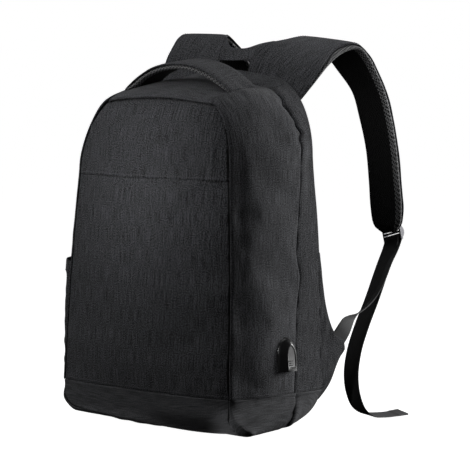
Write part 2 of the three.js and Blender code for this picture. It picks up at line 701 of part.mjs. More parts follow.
// A strap's edges, ordered from left to right
function strapEdges(rows, side) {
  const inner = edgeCurve(rows.map((row) => new THREE.Vector3(side * row.inX, row.inY, row.inZ)));
  const outer = edgeCurve(rows.map((row) => new THREE.Vector3(side * row.outX, row.outY, row.outZ)));
  return { inner, outer, surface: side > 0 ? ribbon(inner, outer) : ribbon(outer, inner) };
}

const SIDES = [
  { name: 'right', side: 1, strap: STRAP_RIGHT, webbing: WEBBING_RIGHT, adjuster: ADJUSTER_RIGHT },
  { name: 'left', side: -1, strap: STRAP_LEFT, webbing: WEBBING_LEFT, adjuster: ADJUSTER_LEFT },
];

// Shoulder straps: fabric on the outside of the loop, padding and mesh on its inside
function addStraps() {
  const inners = {};
  for (const { name, side, strap } of SIDES) {
    const { inner, surface } = strapEdges(strap, side);
    inners[name] = inner;
    const area = { u: spread(0, 1, 30), v: spread(0, 1, 4), limits: [0, 1] };
    const pad = (u, v) => {
      const across = 1 - (2 * v - 1) ** 4;
      const along = Math.min(1, u / STRAP_TAPER.root, (1 - u) / STRAP_TAPER.end);
      return STRAP_EDGE + (STRAP_PAD - STRAP_EDGE) * across * along;
    };
    add(`strap_face_${name}`, sheet(surface, { ...area, low: -STRAP_CLOTH, high: -SEAM_GAP / 2 }), HEATHER);
    add(`strap_pad_${name}`, sheet(surface, { ...area, low: SEAM_GAP / 2, high: pad }), MESH);
  }
  const across = ribbon(inners.left, inners.right);
  const bridge = (share, v) => {
    const upper = YOKE.high + YOKE.climb * Math.abs(2 * v - 1) ** YOKE_CURVE;
    return across(THREE.MathUtils.lerp(YOKE.low, upper, share), v);
  };
  add('strap_yoke', sheet(bridge, {
    u: spread(0, 1, 3), v: spread(YOKE.margin, 1 - YOKE.margin, 10), limits: [0, 1],
    low: -YOKE.thick / 2, high: YOKE.thick / 2,
  }), HEATHER);
}

// Webbing: one band from the anchor wing round the adjuster's bar to its free end
function addWebbing() {
  for (const { name, side, webbing } of SIDES) {
    const edge = (sign) => edgeCurve(webbing.map(({ x, y, z, bearing, tilt }) => {
      const reach = (sign * WEB_WIDTH) / 2;
      const level = reach * Math.cos(tilt * RADIANS);
      return new THREE.Vector3(
        side * (x + level * Math.cos(bearing * RADIANS)),
        y + level * Math.sin(bearing * RADIANS),
        z + reach * Math.sin(tilt * RADIANS),
      );
    }));
    add(`webbing_${name}`, sheet(ribbon(edge(-1), edge(1)), {
      u: spread(0, 1, 2 * (webbing.length - 1)), v: [0, 1], limits: [0, 1],
      low: -WEB_THICK / 2, high: WEB_THICK / 2,
    }), WEB);
  }
}

// Adjusters: a frame with two slots and deep rounded ends, hanging askew from the strap's end
function slot(width, height, middle) {
  const hole = new THREE.Path();
  hole.moveTo(-width / 2, middle - height / 2);
  hole.lineTo(-width / 2, middle + height / 2);
  hole.lineTo(width / 2, middle + height / 2);
  hole.lineTo(width / 2, middle - height / 2);
  hole.closePath();
  return hole;
}

function adjusterGeometry() {
  const { width, height, thick, bar, side, depth } = ADJUSTER;
  const low = -bar / 2;
  const high = height - bar / 2;
  const frame = new THREE.Shape();
  frame.moveTo(-width / 2, low);
  frame.lineTo(width / 2, low);
  frame.lineTo(width / 2, high);
  frame.lineTo(-width / 2, high);
  frame.closePath();
  const slotWidth = width - 2 * side;
  const slotHeight = (height - 3 * bar) / 2;
  for (const row of [0, 1]) {
    frame.holes.push(slot(slotWidth, slotHeight, bar / 2 + slotHeight / 2 + row * (slotHeight + bar)));
  }
  const end = new THREE.Shape();
  end.moveTo(-thick / 2, low);
  end.lineTo(-thick / 2, high);
  end.quadraticCurveTo(2 * depth - thick / 2, (low + high) / 2, -thick / 2, low);
  const flat = { bevelEnabled: false, curveSegments: 10 };
  const bars = new THREE.ExtrudeGeometry(frame, { ...flat, depth: thick });
  let whole = solid(bars.translate(0, 0, -thick / 2));
  for (const x of [-width / 2, width / 2 - side]) {
    const plate = new THREE.ExtrudeGeometry(end, { ...flat, depth: side });
    whole = whole.add(solid(plate.rotateY(Math.PI / 2).translate(x, 0, 0)));
  }
  return geometryOf(whole);
}

function addAdjusters() {
  for (const { name, side, adjuster } of SIDES) {
    const frame = add(`adjuster_${name}`, adjusterGeometry(), STEEL);
    frame.rotation.set(Math.PI / 2, 0, side * ADJUSTER_ROLL * RADIANS, 'YXZ');
    frame.position.set(side * adjuster.x, adjuster.y, adjuster.z);
  }
}

// Anchor wings: flat fabric wedges sewn into the rear edge, each ending in the webbing
function addWings() {
  const outline = outlineAt(REAR_EDGE);
  for (const { name, side } of SIDES) {
    const surface = (u, v) => {
      const z = column(WING, 'height', u);
      const reach = column(WING, 'reach', u);
      const { x } = outline.at(outline.atHeight(z));
      const out = SEAM_GAP / 2 + v * reach;
      const spine = x - WING_THICK / 2 + WING_SPLAY * out;
      return new THREE.Vector3(side * spine, depthAt(REAR_EDGE, z) + out, z);
    };
    const last = WING.length - 1;
    add(`anchor_wing_${name}`, sheet(surface, {
      u: spread(0, last, 2 * last), v: spread(0, 1, 3), limits: [0, last],
      low: -WING_THICK / 2, high: WING_THICK / 2,
    }), HEATHER);
  }
}

// Charging port

// The shell's widest place over a stretch of the right side
function sideReach(yFrom, yTo, zFrom, zTo) {
  let reach = 0;
  for (let place = FRONT_SEAM; place <= REAR_EDGE; place += 0.05) {
    for (let t = 1; t <= 2; t += 0.01) {
      const { x, y, z } = shell(place, t);
      if (y > yFrom && y < yTo && z > zFrom && z < zTo) {
        reach = Math.max(reach, x);
      }
    }
  }
  return reach;
}

function portRing({ out, width, height }, wall) {
  const straight = PORT.straight * height;
  const points = [[width / 2, 0]];
  const turns = 12;
  for (let i = 0; i <= turns; i += 1) {
    const angle = (Math.PI * i) / turns;
    points.push([(width / 2) * Math.cos(angle), straight + (height - straight) * Math.sin(angle)]);
  }
  points.push([-width / 2, 0]);
  return points.map(([y, z]) => new THREE.Vector3(wall + out, PORT.depth + y, PORT.floor + z));
}

// A closed solid through rings of equally many points, each turning to the left about +X
function loft(rings) {
  const count = rings[0].length;
  const points = rings.flat();
  const index = [];
  for (let k = 0; k + 1 < rings.length; k += 1) {
    for (let i = 0; i < count; i += 1) {
      const next = (i + 1) % count;
      const a = k * count + i;
      const b = k * count + next;
      index.push(a, b, b + count, a, b + count, a + count);
    }
  }
  const last = (rings.length - 1) * count;
  for (let i = 1; i + 1 < count; i += 1) {
    index.push(0, i + 1, i);
    index.push(last, last + i, last + i + 1);
  }
  const geometry = new THREE.BufferGeometry();
  geometry.setFromPoints(points);
  geometry.setIndex(index);
  return geometry;
}

function addPort() {
  const halfWidth = PORT_RINGS[0].width / 2;
  const wall = SEAM_GAP + sideReach(PORT.depth - halfWidth, PORT.depth + halfWidth,
    PORT.floor, PORT.floor + PORT_RINGS[0].height);
  const hood = loft(PORT_RINGS.map((ring) => portRing(ring, wall)));
  const outside = PORT_RINGS.at(-1).out;
  const socket = new THREE.BoxGeometry(PORT.socketThick, PORT.socketWidth, 2 * PORT.socketDepth)
    .translate(wall + outside / 2, PORT.depth, PORT.floor);
  add('usb_port', geometryOf(solid(hood).subtract(solid(socket))), PLASTIC);
}

addFrontPanels();
addGussets();
addBackPanel();
addSidePocket();
addPort();
addHandle();
addStraps();
addWebbing();
addAdjusters();
addWings();

export default backpack;
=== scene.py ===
from collections import namedtuple

import bmesh
import bpy
import numpy as np
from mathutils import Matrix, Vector


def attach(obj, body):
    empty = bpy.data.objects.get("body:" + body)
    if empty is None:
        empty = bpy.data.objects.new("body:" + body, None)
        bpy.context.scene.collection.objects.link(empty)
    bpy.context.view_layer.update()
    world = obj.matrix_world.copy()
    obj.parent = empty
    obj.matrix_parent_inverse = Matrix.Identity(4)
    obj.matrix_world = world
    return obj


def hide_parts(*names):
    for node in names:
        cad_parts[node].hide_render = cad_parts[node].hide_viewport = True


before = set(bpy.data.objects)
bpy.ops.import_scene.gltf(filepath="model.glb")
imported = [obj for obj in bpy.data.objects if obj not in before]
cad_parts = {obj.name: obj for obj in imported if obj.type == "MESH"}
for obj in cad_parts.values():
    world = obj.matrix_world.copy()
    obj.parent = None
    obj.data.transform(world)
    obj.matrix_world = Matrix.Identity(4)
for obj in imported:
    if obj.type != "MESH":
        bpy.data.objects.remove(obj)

MM = 0.001
SCENE = bpy.context.scene
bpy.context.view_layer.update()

# Camera and studio

CAMERA_AZIMUTH = np.radians(44.366)
CAMERA_ELEVATION = np.radians(4.184)
CAMERA_DISTANCE = 3.670931
CAMERA_TARGET = np.array([0.081167, 0.0, 0.238591])
CAMERA_LENS = 229.787         # millimetres, for a sensor 36 wide

# Softboxes: place, what they are aimed at, width and height in metres, and watts
SOFTBOXES = {
    "rim": ((0.75, 1.7, 0.5), (0.15, 0.05, 0.22), (0.7, 0.7), 28.0),
    "side_high": ((1.0, 1.2, 1.3), (0.1, 0.03, 0.25), (0.8, 0.8), 0.7),
    "side_low": ((1.2, 1.2, 0.35), (0.1, 0.03, 0.22), (0.8, 0.8), 3.4),
    "left": ((-1.3, -1.0, 0.3), (0.0, -0.06, 0.25), (0.8, 0.5), 3.4),
    "front_top": ((-0.12, -0.5, 0.8), (-0.02, -0.07, 0.33), (0.4, 0.4), 1.3),
    "over": ((0.0, 0.1, 2.0), (0.0, 0.0, 0.3), (1.2, 1.2), 6.0),
    "floor_front": ((0.05, -0.33, 0.004), (0.05, -0.32, 0.5), (0.6, 0.36), 0.05),
    "toe_bounce": ((0.06, -0.085, 0.0015), (0.06, -0.084, 0.5), (0.24, 0.04), 0.0008),
    "toe_fill": ((0.5, -0.55, 0.06), (0.122, -0.055, 0.01), (0.02, 0.02), 0.0014),
    "front_glow": ((-0.03, -0.75, 0.42), (-0.01, -0.07, 0.3), (0.15, 0.15), 0.036),
    "strap_side": ((1.5, -0.35, 0.47), (0.11, 0.25, 0.38), (0.06, 0.2), 0.022),
    "strap_top": ((0.1, -0.6, 1.2), (0.075, 0.215, 0.43), (0.06, 0.06), 0.0107),
    "port_gleam": ((0.6, -1.0, 0.6), (0.162, 0.005, 0.1), (0.05, 0.05), 0.0014),
}
# Opening angles of the narrow lights, in degrees
SPREADS = {"toe_fill": 4, "front_glow": 24, "strap_side": 6, "strap_top": 8, "port_gleam": 4}
FLOOR_SIDE = 60.0
FLOOR_DROP = 0.0006           # the floor lies this far under the base, so that the two don't flicker
FLOOR_GLOW = 1.0


def aim(thing, place, target):
    thing.location = place
    thing.rotation_mode = "QUATERNION"
    thing.rotation_quaternion = (Vector(target) - Vector(place)).to_track_quat("-Z", "Y")


def add_camera():
    data = bpy.data.cameras.new("camera")
    data.lens = CAMERA_LENS
    data.sensor_width = 36
    data.clip_end = 200
    camera = bpy.data.objects.new("camera", data)
    SCENE.collection.objects.link(camera)
    level = np.cos(CAMERA_ELEVATION)
    back = np.array([
        np.sin(CAMERA_AZIMUTH) * level,
        -np.cos(CAMERA_AZIMUTH) * level,
        np.sin(CAMERA_ELEVATION),
    ])
    aim(camera, CAMERA_TARGET + CAMERA_DISTANCE * back, CAMERA_TARGET)
    SCENE.camera = camera


def add_studio():
    for name, (place, target, size, power) in SOFTBOXES.items():
        data = bpy.data.lights.new(name, "AREA")
        data.shape = "RECTANGLE"
        data.size, data.size_y = size
        data.energy = power
        data.spread = np.radians(SPREADS.get(name, 180))
        light = bpy.data.objects.new(name, data)
        SCENE.collection.objects.link(light)
        light.visible_camera = False
        aim(light, place, target)
    world = bpy.data.worlds.new("studio")
    world.use_nodes = True
    world.node_tree.nodes["Background"].inputs["Color"].default_value = (1, 1, 1, 1)
    world.cycles_visibility.diffuse = False
    world.cycles_visibility.glossy = False
    SCENE.world = world
    SCENE.view_settings.view_transform = "Standard"
    half = FLOOR_SIDE / 2
    corners = [(-half, -half), (half, -half), (half, half), (-half, half)]
    mesh = bpy.data.meshes.new("floor")
    mesh.from_pydata([(x, y, -FLOOR_DROP) for x, y in corners], [], [(0, 1, 2, 3)])
    floor = bpy.data.objects.new("floor", mesh)
    SCENE.collection.objects.link(floor)
    pale = bpy.data.materials.new("pale_floor")
    pale.use_nodes = True
    shader = pale.node_tree.nodes["Principled BSDF"]
    shader.inputs["Base Color"].default_value = (0.6, 0.6, 0.6, 1)
    shader.inputs["Roughness"].default_value = 0.9
    shader.inputs["Emission Color"].default_value = (1, 1, 1, 1)
    shader.inputs["Emission Strength"].default_value = FLOOR_GLOW
    mesh.materials.append(pale)
    floor.visible_diffuse = False
    floor.visible_glossy = False


# Materials: the map Grain holds each piece's weave directions, across and along it, in units of 100 mm

class Finish:
    """A material made of nodes round one Principled shader."""

    def __init__(self, name, roughness, metallic=0.0, sheen=0.0):
        self.material = bpy.data.materials.new(name)
        self.material.use_nodes = True
        self.tree = self.material.node_tree
        self.shader = self.tree.nodes["Principled BSDF"]
        self.set(self.shader.inputs["Roughness"], roughness)
        self.set(self.shader.inputs["Metallic"], metallic)
        self.set(self.shader.inputs["Sheen Weight"], sheen)
        self.set(self.shader.inputs["Specular IOR Level"], 0.25)

    def set(self, socket, value):
        if isinstance(value, bpy.types.NodeSocket):
            self.tree.links.new(value, socket)
        else:
            socket.default_value = value

    def add(self, kind, inputs, output=0, **settings):
        node = self.tree.nodes.new(kind)
        for key, value in settings.items():
            setattr(node, key, value)
        for key, value in inputs.items():
            self.set(node.inputs[key], value)
        return node.outputs[output]

    def grain(self, across, along, turn=0.0):
        """Weave coordinates, counted in threads: so many in 100 mm across the grain and along it."""
        place = self.add("ShaderNodeUVMap", {}, uv_map="Grain")
        return self.add("ShaderNodeMapping", {
            "Vector": place, "Rotation": (0, 0, turn), "Scale": (across, along, 1),
        })

    def noise(self, across, along, detail):
        return self.add("ShaderNodeTexNoise", {
            "Vector": self.grain(across, along), "Scale": 1.0, "Detail": detail, "Roughness": 0.6,
        })

    def threads(self, count, direction, turn=0.0):
        """Parallel threads, so many in 100 mm."""
        return self.add("ShaderNodeTexWave", {
            "Vector": self.grain(1, 1, turn), "Scale": count * np.pi / 10,
        }, bands_direction=direction, output=1)

    def math(self, operation, first, second):
        return self.add("ShaderNodeMath", {0: first, 1: second}, operation=operation)

    def blend(self, parts):
        """A sum of textures, each with its weight."""
        total = None
        for texture, weight in parts:
            part = self.math("MULTIPLY", texture, weight)
            total = part if total is None else self.math("ADD", total, part)
        return total

    def ramp(self, value, stops):
        node = self.tree.nodes.new("ShaderNodeValToRGB")
        self.set(node.inputs["Fac"], value)
        points = node.color_ramp.elements
        while len(points) < len(stops):
            points.new(0.5)
        for point, (place, colour) in zip(points, stops):
            point.position = place
            point.color = (*colour, 1)
        return node.outputs["Color"]

    def colour(self, value, stops):
        self.set(self.shader.inputs["Base Color"], self.ramp(value, stops))

    def bump(self, height, strength, depth):
        normal = self.add("ShaderNodeBump", {
            "Height": height, "Strength": strength, "Distance": depth,
        })
        self.set(self.shader.inputs["Normal"], normal)


def grey(value, cool=1.11):
    return (value, value * (1 + (cool - 1) / 6), value * cool)


def heather_finish():
    finish = Finish("heather_weave", 0.92, sheen=0.08)
    streaks = finish.noise(125, 4, 2)
    bands = finish.noise(55, 3, 2)
    flecks = finish.noise(95, 75, 0)
    tone = finish.blend([(streaks, 0.45), (bands, 0.08), (flecks, 0.47)])
    finish.colour(tone, [(0.415, grey(0.011)), (0.5, grey(0.052)), (0.585, grey(0.135))])
    weave = finish.math("MULTIPLY", finish.threads(110, "X"), finish.threads(110, "Y"))
    finish.bump(finish.blend([(tone, 0.7), (weave, 0.3)]), 0.35, 0.0005)
    return finish.material


def accent_finish():
    finish = Finish("accent_weave", 0.86, sheen=0.05)
    streaks = finish.noise(85, 4, 2)
    flecks = finish.noise(120, 60, 2)
    tone = finish.blend([(streaks, 0.5), (flecks, 0.5)])
    finish.colour(tone, [(0.38, grey(0.043, 1.08)), (0.5, grey(0.083, 1.08)), (0.62, grey(0.144, 1.08))])
    twill = finish.threads(80, "X", np.radians(38))
    finish.bump(finish.blend([(tone, 0.5), (twill, 0.5)]), 0.25, 0.0004)
    return finish.material


def mesh_finish(name, hole, thread, shine):
    """Open spacer mesh: a diamond net of threads over dark holes."""
    finish = Finish(name, 0.7, sheen=0.02)
    first = finish.threads(30, "X", np.radians(35))
    second = finish.threads(30, "X", np.radians(-35))
    net = finish.math("MAXIMUM", first, second)
    worn = finish.blend([(net, 0.85), (finish.noise(40, 40, 2), 0.15)])
    shades = [(0.5, grey(hole, 1.0)), (0.72, grey(thread * 0.6, 1.0)), (0.9, grey(thread, 1.03))]
    finish.colour(worn, shades)
    finish.set(finish.shader.inputs["Specular IOR Level"], shine)
    finish.bump(net, 0.8, 0.0009)
    return finish.material


def webbing_finish(name, dark, light):
    finish = Finish(name, 0.75, sheen=0.03)
    ribs = finish.threads(55, "X")
    picks = finish.threads(70, "Y")
    fuzz = finish.noise(60, 8, 3)
    tone = finish.blend([(ribs, 0.4), (picks, 0.2), (fuzz, 0.4)])
    finish.colour(tone, [(0.25, grey(dark, 1.02)), (0.7, grey(light, 1.02))])
    finish.bump(finish.blend([(ribs, 0.6), (picks, 0.4)]), 0.5, 0.0005)
    return finish.material


def thread_finish(name, value):
    finish = Finish(name, 0.7, sheen=0.05)
    twist = finish.noise(160, 160, 2)
    finish.colour(twist, [(0.35, grey(value * 0.7)), (0.65, grey(value * 1.2))])
    finish.bump(twist, 0.3, 0.0002)
    return finish.material


def steel_finish():
    finish = Finish("satin_steel", 0.3, metallic=1.0)
    place = finish.add("ShaderNodeTexCoord", {}, output=3)
    brushed = finish.add("ShaderNodeMapping", {"Vector": place, "Scale": (300, 2500, 2500)})
    scratches = finish.add("ShaderNodeTexNoise", {"Vector": brushed, "Scale": 1.0, "Detail": 2})
    finish.colour(scratches, [(0.3, (0.06, 0.06, 0.064)), (0.7, (0.085, 0.085, 0.09))])
    rough = finish.add("ShaderNodeMapRange", {"Value": scratches, "To Min": 0.42, "To Max": 0.55})
    finish.set(finish.shader.inputs["Roughness"], rough)
    finish.bump(scratches, 0.15, 0.0001)
    return finish.material


def plastic_finish():
    finish = Finish("moulded_plastic", 0.3)
    place = finish.add("ShaderNodeTexCoord", {}, output=3)
    grit = finish.add("ShaderNodeTexNoise", {"Vector": place, "Scale": 1800, "Detail": 2})
    finish.colour(grit, [(0.3, grey(0.015, 1.02)), (0.7, grey(0.023, 1.02))])
    rough = finish.add("ShaderNodeMapRange", {"Value": grit, "To Min": 0.26, "To Max": 0.38})
    finish.set(finish.shader.inputs["Roughness"], rough)
    finish.set(finish.shader.inputs["Specular IOR Level"], 0.75)
    finish.bump(grit, 0.12, 0.0001)
    return finish.material


add_camera()
add_studio()
HEATHER = heather_finish()
ACCENT = accent_finish()
# Two copies of one black spacer mesh. The first keeps its threads dark: its own black, partly painted
# shade. The second has threads painted light, a highlight for the padding's edges.
SHADED_MESH = mesh_finish("air_mesh", 0.004, 0.018, 0.2)
LIT_MESH = mesh_finish("lit_edge_mesh", 0.003, 0.26, 0.3)
WEB_BLACK = webbing_finish("webbing_black", 0.035, 0.09)
WEB_GREY = webbing_finish("webbing_grey", 0.055, 0.155)
THREAD = thread_finish("thread", 0.13)
# The next finish is painted shade: near-black, laid along the front's right seam where its groove only has
# shadow.
PAINTED_SEAM_SHADE = thread_finish("painted_seam_shade", 0.005)
STEEL = steel_finish()
PLASTIC = plastic_finish()


# Smooth maths

def mix(start, end, share):
    return start + (end - start) * share


def rise(value, low, high):
    share = np.clip((value - low) / (high - low), 0, 1)
    return share * share * (3 - 2 * share)


def bell(value, middle, width):
    return np.exp(-(((value - middle) / width) ** 2))


def waves(seed, low, high, count=7):
    """Smooth noise along a line, about -1 to 1, with wavelengths from low to high."""
    rng = np.random.default_rng(seed)
    lengths = rng.uniform(low, high, count)
    phases = rng.uniform(0, 2 * np.pi, count)
    gain = np.sqrt(2 / count)

    def at(place):
        turns = 2 * np.pi * np.asarray(place)[..., None] / lengths + phases
        return gain * np.sin(turns).sum(axis=-1)
    return at


def swells(seed, low, high, count=12):
    """Smooth noise over a plane, about -1 to 1, with wavelengths from low to high."""
    rng = np.random.default_rng(seed)
    lengths = rng.uniform(low, high, count)
    headings = rng.uniform(0, np.pi, count)
    phases = rng.uniform(0, 2 * np.pi, count)
    gain = np.sqrt(2 / count)

    def at(across, along):
        way = across[..., None] * np.cos(headings) + along[..., None] * np.sin(headings)
        return gain * np.sin(2 * np.pi * way / lengths + phases).sum(axis=-1)
    return at


def slopes(rows):
    steps = np.diff(rows, axis=0)
    before, after = steps[:-1], steps[1:]
    total = np.where(before * after > 0, before + after, 1)
    inner = np.where(before * after > 0, 2 * before * after / total, 0)
    return np.vstack([steps[:1], inner, steps[-1:]])


def column(rows, place):
    """Rows of a table at fractional rows, smooth and with no swing past them."""
    place = np.asarray(place, float)
    index = np.clip(np.floor(place).astype(int), 0, len(rows) - 2)
    f = (place - index)[..., None]
    slope = slopes(rows)
    bend = f * f * (3 - 2 * f)
    lead = f * (1 - f) ** 2
    trail = f * f * (1 - f)
    return (rows[index] + (rows[index + 1] - rows[index]) * bend
            + slope[index] * lead - slope[index + 1] * trail)


def curve(points, shares):
    """Points at shares of a centripetal curve through a row of points."""
    points = np.asarray(points, float)
    row = np.vstack([2 * points[0] - points[1], points, 2 * points[-1] - points[-2]])
    place = np.clip(np.asarray(shares, float), 0, 1) * (len(points) - 1)
    index = np.minimum(place.astype(int), len(points) - 2)
    f = (place - index)[:, None]
    p0, p1, p2, p3 = (row[index + k] for k in range(4))
    k01, k12, k23 = (
        np.linalg.norm(b - a, axis=1, keepdims=True) ** 0.5
        for a, b in ((p0, p1), (p1, p2), (p2, p3))
    )
    lead = ((p1 - p0) / k01 - (p2 - p0) / (k01 + k12) + (p2 - p1) / k12) * k12
    trail = ((p2 - p1) / k12 - (p3 - p1) / (k12 + k23) + (p3 - p2) / k23) * k12
    bend = f * f * (3 - 2 * f)
    return p1 + (p2 - p1) * bend + lead * f * (1 - f) ** 2 - trail * f * f * (1 - f)


def unit(vectors):
    return vectors / np.maximum(np.linalg.norm(vectors, axis=-1, keepdims=True), 1e-9)


def grid_normals(points):
    return unit(np.cross(np.gradient(points, axis=0), np.gradient(points, axis=1)))


EDGE_LINES = np.array([0, 0.7, 1.5, 2.5, 3.8, 5.5])   # grid lines beside a border, mm from it


def lines(length, step):
    """Shares of a length with a grid line every step, and more beside its two ends."""
    edge = EDGE_LINES / length
    count = max(2, round((length - 2 * EDGE_LINES[-1]) / step))
    inner = np.linspace(edge[-1], 1 - edge[-1], count + 1)[1:-1]
    return np.concatenate([edge, inner, 1 - edge[::-1]])


def run_lengths(points, axis):
    """Distance of each point of a grid from the first one of its line."""
    steps = np.linalg.norm(np.diff(points, axis=axis), axis=2)
    start = np.zeros_like(np.take(steps, [0], axis=axis))
    return np.concatenate([start, np.cumsum(steps, axis=axis)], axis=axis)


# Shell: the tables and formulas of the construction

BASE_BAND = 47
POCKET_SEAM = 308
TOP_SEAM_X = 95
LEAN_HEIGHT = 400
FRONT_RECESS = 3
FRONT_DOME = 13
FRONT_INSET = 1.8
FRONT_UNDER = -1.0
SEAM_GAP = 0.4

Section = namedtuple("Section", "depth_low depth_high half_base half_shoulder shoulder bow "
                     "corner_x corner_top crown base_radius lift")
SECTIONS = np.array([
    (-77, -55, 147, 132, 314, 3.5, 86, 403, 408, 25, 5),
    (-67, -46, 150, 135.5, 317, 3.5, 87, 408, 413, 21, 0),
    (-18, -4, 152, 139.5, 322, 3.5, 88, 415, 420, 19, 0),
    (37, 53, 151, 141, 328, 2.5, 82, 420, 426, 29, 0),
    (86, 79, 150, 139.5, 335, 1.5, 68, 431, 437, 68, 0),
], float)
FRONT_SEAM, REAR_SEAM, REAR_EDGE = 0, 3, 4


def section_at(place):
    return Section(*column(SECTIONS, place))


def shrink(section, inset, top_inset):
    return section._replace(
        half_base=section.half_base - inset,
        half_shoulder=section.half_shoulder - inset,
        corner_top=section.corner_top - top_inset,
        crown=section.crown - top_inset,
        base_radius=section.base_radius - inset,
        lift=section.lift + inset,
    )


def side_half(section, z):
    low = section.lift + section.base_radius
    share = (z - low) / (section.shoulder - low)
    straight = mix(section.half_base, section.half_shoulder, share)
    return straight + section.bow * np.sin(np.pi * share)


def depth_at(section, z):
    return mix(section.depth_low, section.depth_high, z / LEAN_HEIGHT)


class Outline:
    """Half a section's outline by t: 0 at the base's middle, 1 at the band's seam, 2 at the top
    panel's seam and 3 at the top's middle, even by length between them."""

    STEPS = 60

    def __init__(self, section):
        s = section
        share = np.linspace(0, 1, self.STEPS + 1)
        arc = share * np.pi / 2
        low = s.lift + s.base_radius
        side_z = mix(low, s.shoulder, share[1:])
        top_x = s.corner_x * (1 - share[1:])
        self.x = np.concatenate([
            [0],
            s.half_base - s.base_radius * (1 - np.sin(arc)),
            side_half(s, side_z),
            mix(s.corner_x, s.half_shoulder, np.cos(arc[1:])),
            top_x,
        ])
        self.z = np.concatenate([
            [s.lift],
            low - s.base_radius * np.cos(arc),
            side_z,
            mix(s.shoulder, s.corner_top, np.sin(arc[1:])),
            s.crown - (s.crown - s.corner_top) * (top_x / s.corner_x) ** 2,
        ])
        steps = np.hypot(np.diff(self.x), np.diff(self.z))
        self.lengths = np.concatenate([[0], np.cumsum(steps)])
        upper = self.z > s.shoulder
        band = np.interp(BASE_BAND, self.z, self.lengths)
        seam = np.interp(-TOP_SEAM_X, -self.x[upper], self.lengths[upper])
        self.marks = [0, band, seam, self.lengths[-1]]
        self.flat_end = self.lengths[1] / band

    def at(self, t):
        length = np.interp(t, [0, 1, 2, 3], self.marks)
        return np.interp(length, self.lengths, self.x), np.interp(length, self.lengths, self.z)

    def turn_at(self, z):
        """The t of a height on the side."""
        return np.interp(np.interp(z, self.z, self.lengths), self.marks, [0, 1, 2, 3])


SHOULDER_SLUMP = 12           # how far the left shoulder has slid inwards
CORNER_LIFT = 11              # how far the base's left front corner is lifted
TOE_TUCK = 26                 # how far its right front corner is drawn back
EDGE_IN = 3.2                 # how far the front's right seam is drawn in
TOE_SPREAD = 13               # how far that corner is spread to the side


def settled(points):
    """The shell's slump at its left shoulder and along the front edge of its base."""
    x, y, z = np.moveaxis(np.array(points, float), -1, 0)
    shoulder = rise(z, 315, 410) * rise(-x, 20, 130)
    corner = (1 - rise(z, 5, 60)) * rise(-x, -130, 150) * rise(-y, 20, 75)
    tuck = rise(-y, 28, 77) * (1 - rise(z, 0, 24)) * rise(x, -20, 110)
    spreading = rise(-y, -15, 70) * (1 - rise(z, 2, 15)) * rise(x, 60, 122)
    drawn = rise(x, 60, 150) * rise(-y, 35, 75) * rise(z, 15, 95) * (1 - rise(z, 320, 380))
    return np.stack([
        x + SHOULDER_SLUMP * shoulder + TOE_SPREAD * spreading - EDGE_IN * drawn,
        y + TOE_TUCK * tuck,
        z + CORNER_LIFT * corner,
    ], axis=-1)


def shell(places, turns):
    """Grid over the shell's outside: t runs from the left end of the base band (-1) over the base,
    the right side (1 to 2), the top (2 to 4) and the left side (4 to 5)."""
    turns = np.asarray(turns, float)
    half = np.where(turns > 3, 6 - turns, np.abs(turns))
    side = np.where((turns < 0) | (turns > 3), -1, 1)
    rows = []
    for place in places:
        section = section_at(place)
        x, z = Outline(section).at(half)
        rows.append(np.stack([side * x, depth_at(section, z), z], axis=-1))
    return settled(rows)


PLACES = np.linspace(FRONT_SEAM, REAR_EDGE, 161)
PLACE_LENGTHS = run_lengths(shell(PLACES, [1.5]), 0)[:, 0]


def places_between(first, last, shares):
    """Rows of SECTIONS at shares of the way from one row to another, by length."""
    ends = np.interp([first, last], PLACES, PLACE_LENGTHS)
    return np.interp(mix(ends[0], ends[1], np.asarray(shares)), PLACE_LENGTHS, PLACES)


# Mesh building

SHARP = np.radians(40)


def grid_faces(rows, columns, start=0, wrap=False, flip=False):
    """Quads of a grid of points; wrap joins its last row to its first."""
    first = np.arange(rows if wrap else rows - 1)
    second = (first + 1) % rows
    along = np.arange(columns - 1)
    a = start + first[:, None] * columns + along
    b = start + second[:, None] * columns + along
    quads = np.stack([a, b, b + 1, a + 1], axis=-1).reshape(-1, 4)
    return quads[:, ::-1] if flip else quads


def slab_faces(rows, columns):
    """Quads of a grid, of its copy behind it and of the border between the two."""
    count = rows * columns
    index = np.arange(count).reshape(rows, columns)
    ring = np.concatenate([index[0, :-1], index[:-1, -1], index[-1, :0:-1], index[:0:-1, 0]])
    following = np.roll(ring, -1)
    return np.concatenate([
        grid_faces(rows, columns),
        grid_faces(rows, columns, start=count, flip=True),
        np.stack([ring, following, following + count, ring + count], axis=-1),
    ])


def tube_faces(around, along, start=0):
    """Quads of a tube with so many points around it and along it, and its two caps."""
    caps = start + along * np.arange(around) + np.array([[0], [along - 1]])
    return [*grid_faces(around, along, start, wrap=True).tolist(), *caps.tolist()]


def make_piece(name, points, faces, grain, finishes, nodes=(), face_finish=None):
    mesh = bpy.data.meshes.new(name)
    mesh.from_pydata((np.asarray(points) * MM).tolist(), [], [list(face) for face in faces])
    for finish in finishes:
        mesh.materials.append(finish)
    if face_finish is not None:
        mesh.polygons.foreach_set("material_index", np.asarray(face_finish, np.int32))
    layer = mesh.uv_layers.new(name="Grain")
    corners = np.empty(len(mesh.loops), np.int32)
    mesh.loops.foreach_get("vertex_index", corners)
    layer.data.foreach_set("uv", np.asarray(grain, np.float32)[corners].ravel())
    shape = bmesh.new()
    shape.from_mesh(mesh)
    bmesh.ops.recalc_face_normals(shape, faces=shape.faces)
    shape.to_mesh(mesh)
    shape.free()
    mesh.polygons.foreach_set("use_smooth", np.ones(len(mesh.polygons), bool))
    mesh.set_sharp_from_angle(angle=SHARP)
    piece = bpy.data.objects.new(name, mesh)
    SCENE.collection.objects.link(piece)
    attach(piece, "root")
    if nodes:
        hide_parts(*nodes)
    return piece


